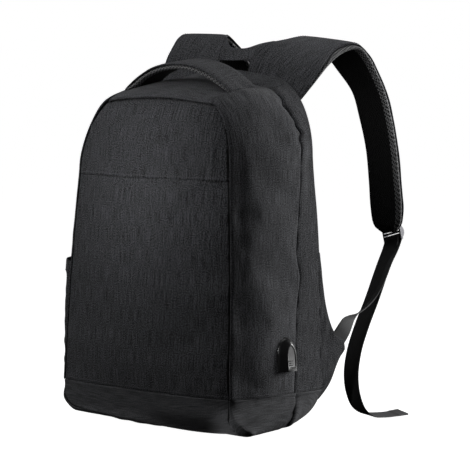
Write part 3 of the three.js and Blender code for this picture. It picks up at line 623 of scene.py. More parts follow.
def make_slab(name, outer, inner, grain, finishes, node, face_finish=None):
    """A closed piece between two grids of points."""
    points = np.concatenate([outer, inner]).reshape(-1, 3)
    grain = np.concatenate([grain, grain]).reshape(-1, 2)
    return make_piece(name, points, slab_faces(*outer.shape[:2]), grain, finishes, [node], face_finish)


def make_tube(name, rings, finishes, node, marks):
    """A closed piece through rings of points; marks pick the finish of each face round it."""
    return make_piece(name, rings.reshape(-1, 3), tube_faces(*rings.shape[:2]),
                      weave_lengths(rings).reshape(-1, 2), finishes, [node],
                      face_finish=[*marks.astype(int).ravel(), 0, 0])


def weave_lengths(points, rows_along=False):
    """Weave coordinates of a grid: its rows or its columns run along the grain."""
    down = run_lengths(points, 0) / 100
    over = run_lengths(points, 1) / 100
    return np.stack((over, down) if rows_along else (down, over), axis=-1)


def level_front(points):
    return points[..., 2] - points[..., 1], points[..., 0]


def upright_front(points):
    return points[..., 0], points[..., 2]


def level_side(points):
    return points[..., 2] - np.abs(points[..., 0]), points[..., 1]


# Soft panels

Seam = namedtuple("Seam", "width depth pucker reach pitch")
JOIN = Seam(4.5, 1.5, 0.4, 14, 14)        # two panels sewn edge to edge
SNUG = Seam(3, 0.5, 0.35, 12, 22)         # an edge that lies close beside a lip
FINE = Seam(2.6, 0.6, 0.2, 12, 16)        # a thin seam
GROOVE = Seam(4.0, 6.0, 0.5, 16, 22)      # an edge that falls steeply behind a lip
CREASE = Seam(3.0, 3.0, 0.4, 14, 20)      # an edge that falls a little behind a lip
FLUSH = Seam(2, 0.1, 0.1, 12, 30)         # an edge that another piece carries on
DEEP = Seam(8, 2.2, 0.4, 14, 18)          # two full panels with a valley between them
HEM = Seam(1.6, 0.7, 0.25, 9, 16)         # a folded edge that lies on top
OPEN = Seam(2, 0.5, 0.3, 12, 30)          # a free edge

Panel = namedtuple("Panel", "piece outer normals")
LIP_RADIUS = 1.2
LIP_TUCK = 2.4
LIP_TURNS = np.radians([180, 150, 120, 90, 60, 30])
# Painted shade along the front's right seam: the width of its near-black strip, and how it narrows.
SEAM_SHADE_WIDTH = 7.5
SEAM_SHADE_NARROWING = (0.6, 320, 390)       # share it loses, from one height to another


def seam_height(seam, distance, along, seed):
    dip = seam.depth * np.clip(1 - distance / seam.width, 0, 1) ** 2
    ripple = waves(seed, 0.7 * seam.pitch, 2.2 * seam.pitch)(along)
    fade = np.exp(-distance / seam.reach) * (1 - bell(distance, 0, 2.5))
    return seam.pucker * ripple * fade - dip


def lip_rows(outer, normals):
    """Rows that roll the first row of a grid inwards and tuck it back."""
    edge = outer[0]
    ahead = unit(outer[0] - outer[1])
    inside = -normals[0]
    rolled = [
        edge + LIP_RADIUS * ((1 - np.cos(turn)) * inside + np.sin(turn) * ahead)
        for turn in LIP_TURNS
    ]
    tucked = rolled[0] - LIP_TUCK * ahead
    return np.array([tucked, *rolled])


# Cloth simulation: a grid of cloth, held at its border, grows a little and is blown up a little

SIM_FRAMES = 20
SIM_STEP = 7.0                # grid step of the simulated cloth
SIM_START = 0.5               # height of the swells that it starts from
Cloth = namedtuple("Cloth", "growth pressure cap")
SIDE_CLOTH = Cloth(0.003, 0.4, 4.0)
FRONT_CLOTH = Cloth(0.004, 0.5, 4.0)
BACK_CLOTH = Cloth(0.006, 1.2, 5.0)


def cubic(field, places):
    """A field sampled along its first axis at fractional rows, smoothly."""
    last = len(field) - 1
    index = np.clip(np.floor(places).astype(int), 0, last - 1)
    f = (places - index).reshape(-1, *[1] * (field.ndim - 1))
    p0, p1, p2, p3 = (field[np.clip(index + k, 0, last)] for k in (-1, 0, 1, 2))
    return p1 + 0.5 * f * (p2 - p0 + f * (2 * p0 - 5 * p1 + 4 * p2 - p3 + f * (3 * (p1 - p2) + p3 - p0)))


def simulate(points, held, cloth):
    """Moves of a grid of cloth whose held points stay, none longer than its cap."""
    rows, columns = points.shape[:2]
    mesh = bpy.data.meshes.new("cloth")
    mesh.from_pydata((points.reshape(-1, 3) * MM).tolist(), [], grid_faces(rows, columns).tolist())
    piece = bpy.data.objects.new("cloth", mesh)
    SCENE.collection.objects.link(piece)
    group = piece.vertex_groups.new(name="held")
    group.add(np.flatnonzero(held.ravel()).tolist(), 1.0, "REPLACE")
    modifier = piece.modifiers.new("cloth", "CLOTH")
    modifier.point_cache.frame_start = 1
    modifier.point_cache.frame_end = SIM_FRAMES
    settings = modifier.settings
    settings.quality = 6
    settings.mass = 0.3
    settings.tension_stiffness = 25
    settings.compression_stiffness = 25
    settings.shear_stiffness = 10
    settings.bending_stiffness = 6
    settings.air_damping = 6
    settings.vertex_group_mass = "held"
    settings.shrink_min = -cloth.growth
    settings.use_pressure = True
    settings.uniform_pressure_force = cloth.pressure
    settings.effector_weights.gravity = 0
    modifier.collision_settings.use_collision = False
    for number in range(1, SIM_FRAMES + 1):
        SCENE.frame_set(number)
    shown = piece.evaluated_get(bpy.context.evaluated_depsgraph_get())
    moved = np.empty(3 * rows * columns, np.float32)
    shown.data.vertices.foreach_get("co", moved)
    bpy.data.objects.remove(piece)
    bpy.data.meshes.remove(mesh)
    SCENE.frame_set(1)
    moves = moved.reshape(rows, columns, 3) / MM - points
    size = np.linalg.norm(moves, axis=2, keepdims=True)
    return moves * np.minimum(1, cloth.cap / np.maximum(size, 1e-9))


def soft_moves(surface, first, second, counts, cloth, seed=None):
    """Moves of a surface at shares of its two directions, simulated on a grid of so many steps. With a
    seed it starts from soft swells."""
    points = surface(*(np.linspace(0, 1, count + 1) for count in counts))
    held = np.ones(points.shape[:2], bool)
    held[1:-1, 1:-1] = False
    if seed is not None:
        start = swells(seed, 35, 90)(run_lengths(points, 0), run_lengths(points, 1))
        points = points + grid_normals(points) * np.where(held, 0, SIM_START * start)[..., None]
    moves = cubic(simulate(points, held, cloth), first * counts[0])
    return np.swapaxes(cubic(np.swapaxes(moves, 0, 1), second * counts[1]), 0, 1)


def border_distances(points):
    """Distances of a grid's points from its first and last row and its first and last column."""
    down = run_lengths(points, 0)
    over = run_lengths(points, 1)
    return [down, down[-1:] - down, over, over[:, -1:] - over]


def mean_size(surface, rows, columns):
    """Mean lengths of a surface along its two directions, over so many rows and columns."""
    points = surface(np.linspace(0, 1, rows), np.linspace(0, 1, columns))
    return run_lengths(points, 0)[-1].mean(), run_lengths(points, 1)[:, -1].mean()


def add_panel(name, node, surface, size, seams, finish, rows_along=False, step=3.0, thick=1.2,
              cloth=None, lip=False, extra=None, swell=0.25, weave=None, shade_width=0):
    """A fabric panel over a surface of two shares, with a shaped seam at each border: first and last
    row, then first and last column. Cloth asks for a simulation, extra gives more height for points and
    border distances, weave the grain by place, the last argument the width of a strip of painted shade
    along the last row: a near-black finish where the seam's groove only has shadow."""
    seed = sum(name.encode())
    first = lines(size[0], step)
    second = lines(size[1], step)
    flat = surface(first, second)
    points = flat
    if cloth:
        counts = [max(6, round(length / SIM_STEP)) for length in size]
        points = flat + soft_moves(surface, first, second, counts, cloth, seed)
    borders = border_distances(points)
    down, over = borders[0], borders[2]
    height = swell * swells(seed, 40, 130)(down, over)
    for number, (seam, distance, along) in enumerate(zip(seams, borders, [over, over, down, down])):
        height = height + seam_height(seam, distance, along, seed + number)
    if extra is not None:
        height = height + extra(points, *borders)
    outer = points + grid_normals(points) * height[..., None]
    normals = grid_normals(outer)
    sewn = Panel(None, outer, normals)
    if lip:
        outer = np.concatenate([lip_rows(outer, normals), outer])
        normals = grid_normals(outer)
    if weave:
        grain = np.stack(weave(outer), axis=-1) / 100 + seed % 40
    else:
        grain = weave_lengths(outer, rows_along) + np.random.default_rng(seed).uniform(0, 50, 2)
    # Faces nearer the last row than the given width take the second finish, a strip of painted shade.
    shaded_faces = None
    if shade_width:
        share, low, high = SEAM_SHADE_NARROWING
        edge = borders[1] + share * shade_width * rise(outer[..., 2], low, high)
        shaded_faces = np.concatenate([edge, edge]).ravel()[slab_faces(*edge.shape)].max(axis=1) < shade_width
    piece = make_slab(name, outer, outer - thick * normals, grain, [finish, PAINTED_SEAM_SHADE] if shade_width else [finish],
                      node, shaded_faces)
    return sewn._replace(piece=piece)


# Stitches: short rounded threads laid along a path

STITCH_SIDES = 6
STITCH_RINGS = np.array([(-0.5, 0.35), (-0.3, 0.9), (0.0, 1.0), (0.3, 0.9), (0.5, 0.35)])
STITCH_FLATNESS = 0.8
STITCH_LIFT = 0.15
STITCH_INSET = 3.4            # usual distance of a row of stitches from a seam


def at_run(places, along, values):
    """Values of a row of points at places along it."""
    return np.stack([np.interp(places, along, part) for part in values.T], axis=-1)


def add_stitches(name, paths, pitch=3.4, length=2.3, radius=0.38):
    """Rows of stitches; each path has its points and the normals of the cloth under it."""
    shifts, shares = STITCH_RINGS.T[..., None]
    turns = np.arange(STITCH_SIDES)[:, None, None] * 2 * np.pi / STITCH_SIDES
    stitches = []
    for path, normals in paths:
        along = run_lengths(path[:, None], 0)[:, 0]
        middles = np.arange(pitch, along[-1] - pitch / 2, pitch)
        up = unit(at_run(middles, along, normals))
        ahead = unit(at_run(middles + 0.5, along, path) - at_run(middles - 0.5, along, path))
        beside = unit(np.cross(up, ahead))
        for place, a, b, n in zip(at_run(middles, along, path), ahead, beside, up):
            section = np.cos(turns) * b + STITCH_FLATNESS * np.sin(turns) * n
            stitches.append(place + a * shifts * length + radius * shares * section)
    faces = []
    for start in STITCH_SIDES * len(STITCH_RINGS) * np.arange(len(stitches)):
        faces.extend(tube_faces(STITCH_SIDES, len(STITCH_RINGS), start))
    points = np.array(stitches).reshape(-1, 3)
    make_piece(name, points, faces, points[:, [0, 2]] / 100, [THREAD])


def seam_path(panel, border, inset=STITCH_INSET):
    """A path beside a border of a panel: first or last row, first or last column."""
    outer, normals = panel.outer, panel.normals
    if border.startswith("last"):
        outer, normals = outer[::-1, ::-1], normals[::-1, ::-1]
    if border.endswith("row"):
        outer, normals = np.swapaxes(outer, 0, 1), np.swapaxes(normals, 0, 1)
    along = run_lengths(outer, 1)
    path = np.array([at_run(inset, *line) for line in zip(along, outer)])
    up = np.array([at_run(inset, *line) for line in zip(along, normals)])
    return path + STITCH_LIFT * up, up


# Gussets and rear panels

ZIP_CORNER = 378              # heights at which the valley over the main zip is deepest
ZIP_LOW = 190
# Heights, and how far behind its row of the table the seam of the main zip lies there
ZIP_RUN = np.array([
    (0, -7), (150, -5), (188, 1), (219, -6), (250, -3), (300, 2.5), (350, 5), (372, 4), (392, -6),
    (480, -7),
])
SIDE_SWELL = 3.2
SIDE_LIP = 2.3
TOP_DOME = 4.5
TOP_DOME_X = -30
REAR_HOLLOW = 3
BASE_FULLNESS = 2.8
BASE_OVERLAP = 0.045          # share of its depth by which the gusset's base runs under the rear one


def shift_zip(points, share):
    """Moves the seam of the main zip along the bag's depth; share is 1 at the seam and 0 away from it."""
    z = points[..., 2]
    notches = 2.0 * waves(61, 9, 22)(z) * bell(z, 388, 34)
    points[..., 1] += (np.interp(z, *ZIP_RUN.T) + notches) * share[:, None]
    return points


def zip_depth(points):
    """Depth of the valley over the main zip, by height on the sides."""
    z = points[..., 2]
    flutter = 1 + 0.25 * waves(43, 24, 80)(z + 0.6 * points[..., 0])
    return (0.5 + 2.8 * bell(z, ZIP_CORNER, 30) + 0.9 * bell(z, ZIP_LOW, 26)) * flutter


def side_height(points, front, rear, low, high):
    """The side's swell, soft upright folds behind its front seam, and its edge over the zip."""
    z = points[..., 2]
    sway = 4 * waves(77, 60, 160)(z)
    upright = rise(z, 150, 240) * (1 - rise(z, 330, 380))
    folds = -0.5 * bell(front, 14 + 0.5 * sway, 6) + 0.35 * bell(front, 26 + sway, 8)
    swell = SIDE_SWELL * np.sin(np.pi * front / (front + rear)) + SIDE_LIP * bell(front, 0, 9)
    return swell + folds * upright - 0.5 * zip_depth(points) * bell(rear, 0, 7)


def top_height(points, front, rear, low, high):
    dome = TOP_DOME * bell(points[..., 0], TOP_DOME_X, 60) * rise(front, 5, 75)
    return dome - 0.5 * zip_depth(points) * bell(rear, 0, 7)


def rear_height(points, front, rear, low, high):
    """The valley over the zip, and the hollow of the right side's rear edge."""
    hollow = REAR_HOLLOW * bell(points[..., 2], 335, 60) * rise(points[..., 0], 60, 120)
    return -1.4 * zip_depth(points) * np.exp(-front / 5) - hollow * rise(front, 2, 20)


def rear_top_height(points, front, rear, low, high):
    dome = TOP_DOME * bell(points[..., 0], TOP_DOME_X, 60) * (1 - 0.4 * rise(front, 0, 30))
    return dome + rear_height(points, front, rear, low, high)


def base_height(points, front, rear, left, right):
    """The hem along the base's two upper edges, and its fullness behind the front band."""
    z = points[..., 2]
    full = BASE_FULLNESS * bell(front, 0, 12) * rise(z, 1, 8) * (1 - rise(z, 25, 40))
    return bell(np.minimum(left, right), 0, 3.5) + full


# Each ring of panels: its rows of the table, whether it starts with a lip, the seams of its base and of
# its other panels, and the heights of its top and sides
RINGS = {
    "gusset": (FRONT_SEAM, REAR_SEAM, True, (OPEN, DEEP, HEM, HEM), (OPEN, SNUG, FINE, FINE),
               top_height, side_height),
    "rear": (REAR_SEAM, REAR_EDGE, False, (DEEP, FLUSH, HEM, HEM), (SNUG, FLUSH, FINE, FINE),
             rear_top_height, rear_height),
}
TURNS = {"base": (-1, 1), "right": (1, 2), "top": (2, 4), "left": (4, 5)}


def add_shell_panels():
    sewn = {}
    for ring, (front, rear, lip, base_seams, seams, top, side) in RINGS.items():
        for part, turns in TURNS.items():
            is_base = part == "base"
            reach = 1 + BASE_OVERLAP * (lip and is_base)

            def surface(first, second, front=front, rear=rear, turns=turns, lip=lip, reach=reach):
                points = shell(places_between(front, rear, reach * first), mix(*turns, second))
                return shift_zip(points, rise(first if lip else 1 - first, 0, 1))
            sewn[f"{ring}_{part}"] = add_panel(
                f"{ring}_{part}_fabric", f"{ring}_{part}", surface, mean_size(surface, 40, 200),
                base_seams if is_base else seams, ACCENT if is_base else HEATHER,
                cloth=SIDE_CLOTH if lip and not is_base else None, lip=lip,
                extra={"base": base_height, "top": top}.get(part, side), swell=0.12,
                step=4.0 if is_base else 3.0, weave=level_side if is_base else None)
    return sewn


# Front panels

FRONT_SECTION = shrink(section_at(FRONT_SEAM), FRONT_INSET, FRONT_INSET)
FRONT_OUTLINE = Outline(FRONT_SECTION)
LEFT_UNDER = 0.012            # share of its half width by which the front runs under the left lip
PILLOW = 3.5
LEFT_SWELL = 2.4
BAND_FULLNESS = 4.2


def front_points(x, z):
    s = FRONT_SECTION
    climb = np.clip((z - s.shoulder) / (s.corner_top - s.shoulder), 0, 1)
    upper = s.corner_x + (s.half_shoulder - s.corner_x) * np.sqrt(1 - climb ** 2)
    half = np.where(z < s.shoulder, side_half(s, z), upper)
    across = np.maximum(0, 1 - (x / half) ** 2)
    along = 1 - np.abs(2 * z / s.crown - 1) ** 4
    y = depth_at(section_at(FRONT_SEAM), z) + FRONT_RECESS - FRONT_DOME * across * along
    return settled(np.stack([x, y, z], axis=-1))


def level_border(z):
    return flat_border(side_half(FRONT_SECTION, z), z)


def base_border(section, up=0):
    return flat_border(section.half_base - section.base_radius, section.lift + up)


def flat_border(half, z):
    return lambda c: np.stack([c * half, np.full_like(c, z)], axis=-1)


def top_border(outline):
    def border(c):
        x, z = outline.at(3 - np.abs(c))
        return np.stack([np.sign(c) * x, z], axis=-1)
    return border


def side_border(outline, first, last):
    return lambda v: np.stack(outline.at(mix(first, last, v)), axis=-1)


def patch(low, high, right, c, v):
    """Points by c from -1 to 1 and v from 0 to 1 between a low, a high and a right border,
    which the left one mirrors."""
    one = np.array([1.0])
    ends = np.array([0.0, 1.0])
    grid = mix(low(c)[:, None], high(c)[:, None], v[None, :, None])
    start, end = right(ends) - np.concatenate([low(one), high(one)])
    straight = mix(low(one), high(one), v[:, None]) + mix(start, end, v[:, None])
    bulge = right(v) - straight
    return grid[..., 0] + bulge[:, 0] * c[:, None], grid[..., 1] + bulge[:, 1]


def hem_height(points, left, right, low, high):
    """The folded hem over the pocket, with a crumple at its two ends."""
    nick = bell(left, 4, 5) + bell(right, 5, 6)
    hem = (0.9 - 0.6 * nick) * bell(low, 0, 4.5)
    top = 1.8 * bell(high, 0, 9)
    return hem + top + pocket_height(points, left, np.minimum(right, high), low, high)


def pocket_height(points, left, right, low, high):
    return pillow(left, right) + corner_folds(points, left, right)


def band_height(points, left, right, low, high):
    hem = 0.9 * bell(high, 0, 4)
    full = BAND_FULLNESS * bell(low, 0, 7) * rise(right, 1, 10) * rise(left, 4, 22)
    return hem + full + pillow(left, right)


def pillow(left, right):
    """The front's swell beside its seams, its fullness at the left one and its fall to the right."""
    edge = np.minimum(left, right)
    swell = PILLOW * (1 - np.exp(-edge / 13)) - PILLOW * np.exp(-right / 24)
    return LEFT_SWELL * bell(left, 0, 10) + swell


def corner_folds(points, left, right):
    """Upright folds beside the front panel's right and left seams."""
    z = points[..., 2]
    sway = 3 * waves(19, 50, 140)(z)
    upright = rise(z, 275, 320) * (1 - rise(z, 360, 396))
    ridges = -1.1 * bell(right, 16 + sway, 3.5) + 0.9 * bell(right, 23 + sway, 4)
    ridges = ridges - 0.8 * bell(right, 30 + sway, 4) - 0.7 * bell(left, 14 - sway, 4)
    return upright * ridges


def add_front_panels():
    seam_turn = FRONT_OUTLINE.turn_at(POCKET_SEAM)
    clear = SEAM_GAP / 2
    under = base_border(FRONT_SECTION, FRONT_UNDER)
    panels = {
        "front_upper": ("front_upper_panel", level_border(POCKET_SEAM + clear), top_border(FRONT_OUTLINE),
                        (seam_turn, 2), (SNUG, GROOVE, HEM, SNUG), hem_height),
        "front_pocket": ("front_pocket_panel", level_border(BASE_BAND + clear),
                         level_border(POCKET_SEAM - clear), (1, seam_turn),
                         (SNUG, GROOVE, FINE, FINE), pocket_height),
        "front_base": ("front_base_band", under, level_border(BASE_BAND - clear),
                       (FRONT_OUTLINE.flat_end, 1), (SNUG, CREASE, FLUSH, HEM), band_height),
    }
    sewn = {}
    for key, (node, low, high, turns, seams, extra) in panels.items():
        right = side_border(FRONT_OUTLINE, *turns)
        band = key == "front_base"

        def surface(first, second, low=low, high=high, right=right):
            return front_points(*patch(low, high, right, mix(-1 - LEFT_UNDER, 1, first), second))
        # Each front panel carries a strip of painted shade along its right seam.
        sewn[key] = add_panel(
            f"{key}_fabric", node, surface, mean_size(surface, 80, 80), seams, ACCENT if band else HEATHER,
            cloth=None if band else FRONT_CLOTH, extra=extra,
            swell=0.15, weave=level_front if band else upright_front, shade_width=SEAM_SHADE_WIDTH)
    return sewn


# Padded back panel

BACK_PAD = 8
BACK_EDGE = 2                 # thickness of the padding at its border
BACK_DOME = 8
BACK_INSET = 2.7
BACK_TOP_INSET = 3.9
BACK_SIZE = (430, 290)
BACK_STEP = 4.5
BACK_COUNTS = (62, 42)
CHANNEL_DEPTH = 3.2


def back_crown(first, second):
    return (1 - (2 * second[None, :] - 1) ** 4) * (1 - (2 * first[:, None] - 1) ** 4)


def back_surface(first, second):
    section = shrink(section_at(REAR_EDGE), BACK_INSET, BACK_TOP_INSET)
    outline = Outline(section)
    right = side_border(outline, outline.flat_end, 2)
    borders = (base_border(section), top_border(outline), right)
    x, z = (part.T for part in patch(*borders, 2 * second - 1, first))
    y = depth_at(section_at(REAR_EDGE), z) - SEAM_GAP + BACK_DOME * back_crown(first, second)
    return settled(np.stack([x, y, z], axis=-1))


def channels(points):
    """Sewn channels of the back padding: one down its middle and two across."""
    x, z = points[..., 0], points[..., 2]
    down = bell(x, 0, 7) * rise(z, 40, 90) * (1 - rise(z, 350, 400))
    across = bell(z, 150, 6) + bell(z, 275, 6)
    return CHANNEL_DEPTH * np.maximum(down, across * (1 - rise(np.abs(x), 85, 115)))


def add_back_panel():
    first, second = (lines(length, BACK_STEP) for length in BACK_SIZE)
    points = back_surface(first, second) + soft_moves(back_surface, first, second, BACK_COUNTS, BACK_CLOTH)
    border = np.minimum.reduce(border_distances(points))
    height = -1.6 * np.clip(1 - border / 8, 0, 1) ** 2 - channels(points) * rise(border, 10, 30)
    outer = points + grid_normals(points) * height[..., None]
    thick = mix(BACK_EDGE, BACK_PAD, back_crown(first, second))
    grain = weave_lengths(outer, True) + np.random.default_rng(5).uniform(0, 50, 2)
    piece = make_slab("back_padding", outer, points - np.array([0, 1, 0]) * thick[..., None], grain,
                      [SHADED_MESH], "back_panel")


# Side pocket

POCKET_TOP = 200
POCKET_STAND = 12
POCKET_PLACES = (0.12, 2.94)
POCKET_HEM = 16


def add_side_pocket():
    mouth = 6 - Outline(section_at(1)).turn_at(POCKET_TOP)

    def surface(first, second):
        points = shell(places_between(*POCKET_PLACES, first), mix(mouth, 5, second))
        across = 2 * first[:, None] - 1
        stand = POCKET_STAND * (1 - np.abs(across) ** 12) * (1 - second[None, :]) ** 0.7
        return points + grid_normals(points) * (SEAM_GAP + 2 + stand)[..., None]

    def mouth_hem(points, front, rear, high, low):
        return 0.8 * rise(POCKET_HEM - high, 0, 2) + 0.5 * waves(3, 18, 44)(front) * np.exp(-high / 20)

    return add_panel("side_pocket_fabric", "side_pocket", surface, mean_size(surface, 40, 60),
                     (JOIN, JOIN, OPEN, JOIN), HEATHER, extra=mouth_hem, thick=1.6)


# Shoulder straps: rows with the inner and the outer edge, as on the right side

STRAP_RIGHT = [
    (24, 81.2, 434, 115, 81.2, 404), (26, 88, 455, 113, 105, 423), (29, 107, 470, 110, 137, 448),
    (38, 134, 475.5, 108, 167, 464.5), (47, 163, 478.5, 113, 193, 469.5), (52, 192, 463, 112, 212, 457),
    (54.5, 216, 441, 111, 231, 434), (55, 246, 411, 110, 248, 408), (55, 260, 378, 110, 260, 376),
    (54.5, 274, 336, 109, 271, 336), (53, 282, 292, 108.5, 278, 293), (53.5, 285, 258, 109, 281, 260),
    (58, 286, 237, 106, 282, 240), (72, 286.6, 225.4, 96, 283.6, 229.4),
]
STRAP_LEFT = [
    (27, 81.5, 434, 135, 81.5, 404), (29, 86.5, 455, 132, 84, 432), (32, 98, 472, 121, 89, 462),
    (45, 117, 480, 118, 106, 480.5), (54, 139, 472, 115, 131, 474), (41, 154, 448, 113, 149, 450),
    (41, 164, 412, 111, 161, 413), (46, 173, 372, 110, 171, 373), (50, 180, 330, 110, 178, 331),
    (50, 184, 288, 110, 182, 288), (50, 186, 248, 110, 184, 248), (52, 187, 216, 110, 185, 217),
    (60, 187, 199, 105, 186, 200), (74, 187, 190, 94, 186.5, 191),
]
SIDES = {"right": (1, STRAP_RIGHT), "left": (-1, STRAP_LEFT)}
STRAP_STEP = 4.0
STRAP_SCALE = 700             # length by which shares of a strap count for its waves and ends
STRAP_CLOTH = 2
STRAP_BACK = 0.2              # how far the cloth's back lies inside the padding
STRAP_PAD = 8
STRAP_END_PAD = 3
# The lit mesh's bright lattice is painted highlight: these shares of the padding's half width, and its
# start on the left strap, say where it is laid.
LIT_LATTICE_WIDE = 0.22           # shares of the padding's half width that show its lattice
LIT_LATTICE_NARROW = 0.1
LIT_LATTICE_START = 0.3           # share of the left strap at which its lattice starts
YOKE_SPAN = (0.057, 0.119)
YOKE_CLIMB = 0.075
YOKE_BENDS = (3.8, 2.6)       # exponents of its upper edge, left and right of its middle
YOKE_THICK = 2.6
YOKE_TURN_IN = 0.012          # how far its ends reach into the straps, as a share of its width
PAD_ANGLES = np.linspace(0, 2 * np.pi, 36, endpoint=False)
PAD_SQUARE = 0.7              # exponent of the padding's section: 1 is an ellipse, 0 a rectangle


def strap_edges(rows, side, shares):
    rows = np.array(rows, float)
    mirror = np.array([side, 1, 1])
    inner = curve(rows[:, :3] * mirror, shares)
    outer = curve(rows[:, 3:] * mirror, shares)
    return (inner, outer) if side > 0 else (outer, inner)


def even_shares(rows, side, step):
    """Shares of a strap that are evenly spaced along it."""
    fine = np.linspace(0, 1, 600)
    first, second = strap_edges(rows, side, fine)
    run = run_lengths(((first + second) / 2)[:, None], 0)[:, 0]
    count = round(run[-1] / step)
    return np.interp(np.linspace(0, run[-1], count + 1), run, fine)


def squared(value):
    return np.sign(value) * np.abs(value) ** PAD_SQUARE


def pad_rings(origin, across, out, top, thickness):
    """Rings of padding under a strip: thickness for each station, from top downwards along out."""
    over = squared(np.cos(PAD_ANGLES))[:, None, None]
    deep = squared(np.sin(PAD_ANGLES))[:, None, None]
    middle = origin + across / 2 + out * (top + thickness / 2)[:, None]
    return middle + across / 2 * over + out * thickness[:, None] / 2 * deep


def lit_edge_marks(first, last):
    """Marks the faces of a padding beside its first and its last edge, by shares of its half width
    for each stretch along it. The marked faces take the lit copy of the mesh, a painted highlight."""
    over = squared(np.cos(PAD_ANGLES + PAD_ANGLES[1] / 2))[:, None]
    return np.where(over < 0, -over > 1 - first[None], over > 1 - last[None])


def strap_heights(side, shares, cross_lines, width):
    """Heights of a strap's cloth over its padding, with its crown, its edges and its sewn ends."""
    across = cross_lines[:, None]
    edge = np.minimum(across, 1 - across) * width
    ends = np.minimum(shares, 1 - shares) * STRAP_SCALE
    offset = 0.2 * waves(side + 8, 40, 110)(shares * STRAP_SCALE) - 0.9 * (1 - np.abs(2 * across - 1) ** 3)
    offset = offset + 1.7 * np.clip(1 - edge / 4, 0, 1) ** 2 + 0.7 * bell(edge, 5.2, 1.4)
    return offset - STRAP_CLOTH + 1.2 * np.clip(1 - ends / 5, 0, 1) ** 2


def add_straps():
    stitched = {}
    for name, (side, rows) in SIDES.items():
        shares = even_shares(rows, side, STRAP_STEP)
        origin, far = strap_edges(rows, side, shares)
        across = far - origin
        out = unit(np.cross(np.gradient((origin + far) / 2, axis=0), across))
        width = np.linalg.norm(across, axis=1)
        cross_lines = lines(80, 5.0)
        inset = 0.6 + 6 * bell(shares, 0.235, 0.1) if side > 0 else 0 * shares
        cloth = origin + across * (1 - inset / width)[:, None] * cross_lines[:, None, None]
        outer = cloth + out * strap_heights(side, shares, cross_lines, width)[..., None]
        piece = make_slab(f"strap_{name}_fabric", outer, cloth - STRAP_BACK * out,
                          weave_lengths(outer) + 3 + side, [HEATHER], f"strap_face_{name}")
        stitched[name] = Panel(piece, outer, grid_normals(outer))
        fade = np.clip(np.minimum(shares / 0.12, (1 - shares) / 0.05), 0, 1)
        rings = pad_rings(origin, across, out, STRAP_BACK, mix(STRAP_END_PAD, STRAP_PAD, fade))
        stretch = (shares[1:] + shares[:-1]) / 2
        # Strips beside the padding's edges take the lit copy of the mesh: painted highlight on its lattice.
        narrow = np.full_like(stretch, LIT_LATTICE_NARROW)
        wide = np.full_like(stretch, LIT_LATTICE_WIDE)
        hanging = np.where(stretch > LIT_LATTICE_START, narrow, 0)
        marks = lit_edge_marks(narrow, wide) if side > 0 else lit_edge_marks(hanging, hanging)
        padding = make_tube(f"strap_{name}_padding", rings, [SHADED_MESH, LIT_MESH],
                            f"strap_pad_{name}", marks)
    return stitched


def add_yoke():
    def surface(first, second):
        over = mix(-YOKE_TURN_IN, 1 + YOKE_TURN_IN, first)
        upper = YOKE_SPAN[1] + YOKE_CLIMB * np.abs(2 * over - 1) ** np.where(over < 0.5, *YOKE_BENDS)
        rows = []
        for place, top in zip(over, upper):
            shares = mix(YOKE_SPAN[0], top, second)
            right = strap_edges(STRAP_RIGHT, 1, shares)[0]
            left = strap_edges(STRAP_LEFT, -1, shares)[1]
            rows.append(mix(left, right, place))
        return np.array(rows)

    def raised(points, left, right, low, high):
        return np.full_like(left, YOKE_THICK / 2)

    add_panel("strap_yoke_fabric", "strap_yoke", surface, mean_size(surface, 30, 30),
              (SNUG, SNUG, OPEN, OPEN), HEATHER, thick=YOKE_THICK, extra=raised, swell=0.1)


# Carry handle

HANDLE_X = (-88, 97)
HANDLE_Y = (-25, 21)
HANDLE_RISE = 33
HANDLE_BENDS = (2.05, 2.2)    # exponents of its arch, right and left of its middle
HANDLE_SEAT = 2.4
HANDLE_PAD = 7.5
HANDLE_FOOT_PAD = 1.6
HANDLE_LIT_LATTICE = 0.28


def handle_feet():
    """Heights of the shell's top under the handle's four corners: left and right, front and rear."""
    top = shell(np.linspace(FRONT_SEAM, REAR_EDGE, 200), np.linspace(1.9, 4.1, 110)).reshape(-1, 3)

    def height(x, y):
        return top[np.argmin(np.hypot(top[:, 0] - x, top[:, 1] - y)), 2]
    return np.array([[height(x, y) for y in HANDLE_Y] for x in HANDLE_X])


def add_handle():
    feet = handle_feet()

    def arch(first, second):
        u = 2 * first[:, None] - 1
        v = second[None, :]
        foot = mix(mix(feet[0, 0], feet[0, 1], v), mix(feet[1, 0], feet[1, 1], v), first[:, None])
        z = foot + HANDLE_SEAT + HANDLE_RISE * (1 - np.abs(u) ** np.where(u > 0, *HANDLE_BENDS))
        x = np.broadcast_to(mix(*HANDLE_X, first)[:, None], z.shape)
        y = np.broadcast_to(mix(*HANDLE_Y, v), z.shape)
        return np.stack([x, y, z], axis=-1)

    def crown(points, left, right, front, rear):
        edge = np.minimum(front, rear)
        return 1.6 + 0.7 * (1 - np.exp(-edge / 9)) + 0.35 * bell(edge, 5.5, 1.4)

    top = add_panel("handle_fabric", "carry_handle", arch, mean_size(arch, 60, 20), (JOIN, JOIN, HEM, HEM),
                    HEATHER, thick=1.4, extra=crown, step=3.5, swell=0.2)
    shares = np.linspace(0, 1, 60)
    line = arch(shares, np.array([0.0, 1.0]))
    across = line[:, 1] - line[:, 0]
    out = -unit(np.cross(np.gradient(line.mean(axis=1), axis=0), across))
    fade = 1 - np.abs(2 * shares - 1) ** 8
    thickness = mix(HANDLE_FOOT_PAD, HANDLE_PAD, fade) + 2.6 * bell(shares, 0.08, 0.05)
    rings = pad_rings(line[:, 0], across, out, 0.0, thickness)
    # The padding's edges take the lit copy of the mesh: painted highlight on its lattice.
    edges = np.full(len(shares) - 1, HANDLE_LIT_LATTICE)
    lining = make_tube("handle_padding", rings, [SHADED_MESH, LIT_MESH], "handle_lining",
                       lit_edge_marks(edges, edges))
    return top


# Webbing: rows with its middle, and the bearing and tilt of its width in degrees

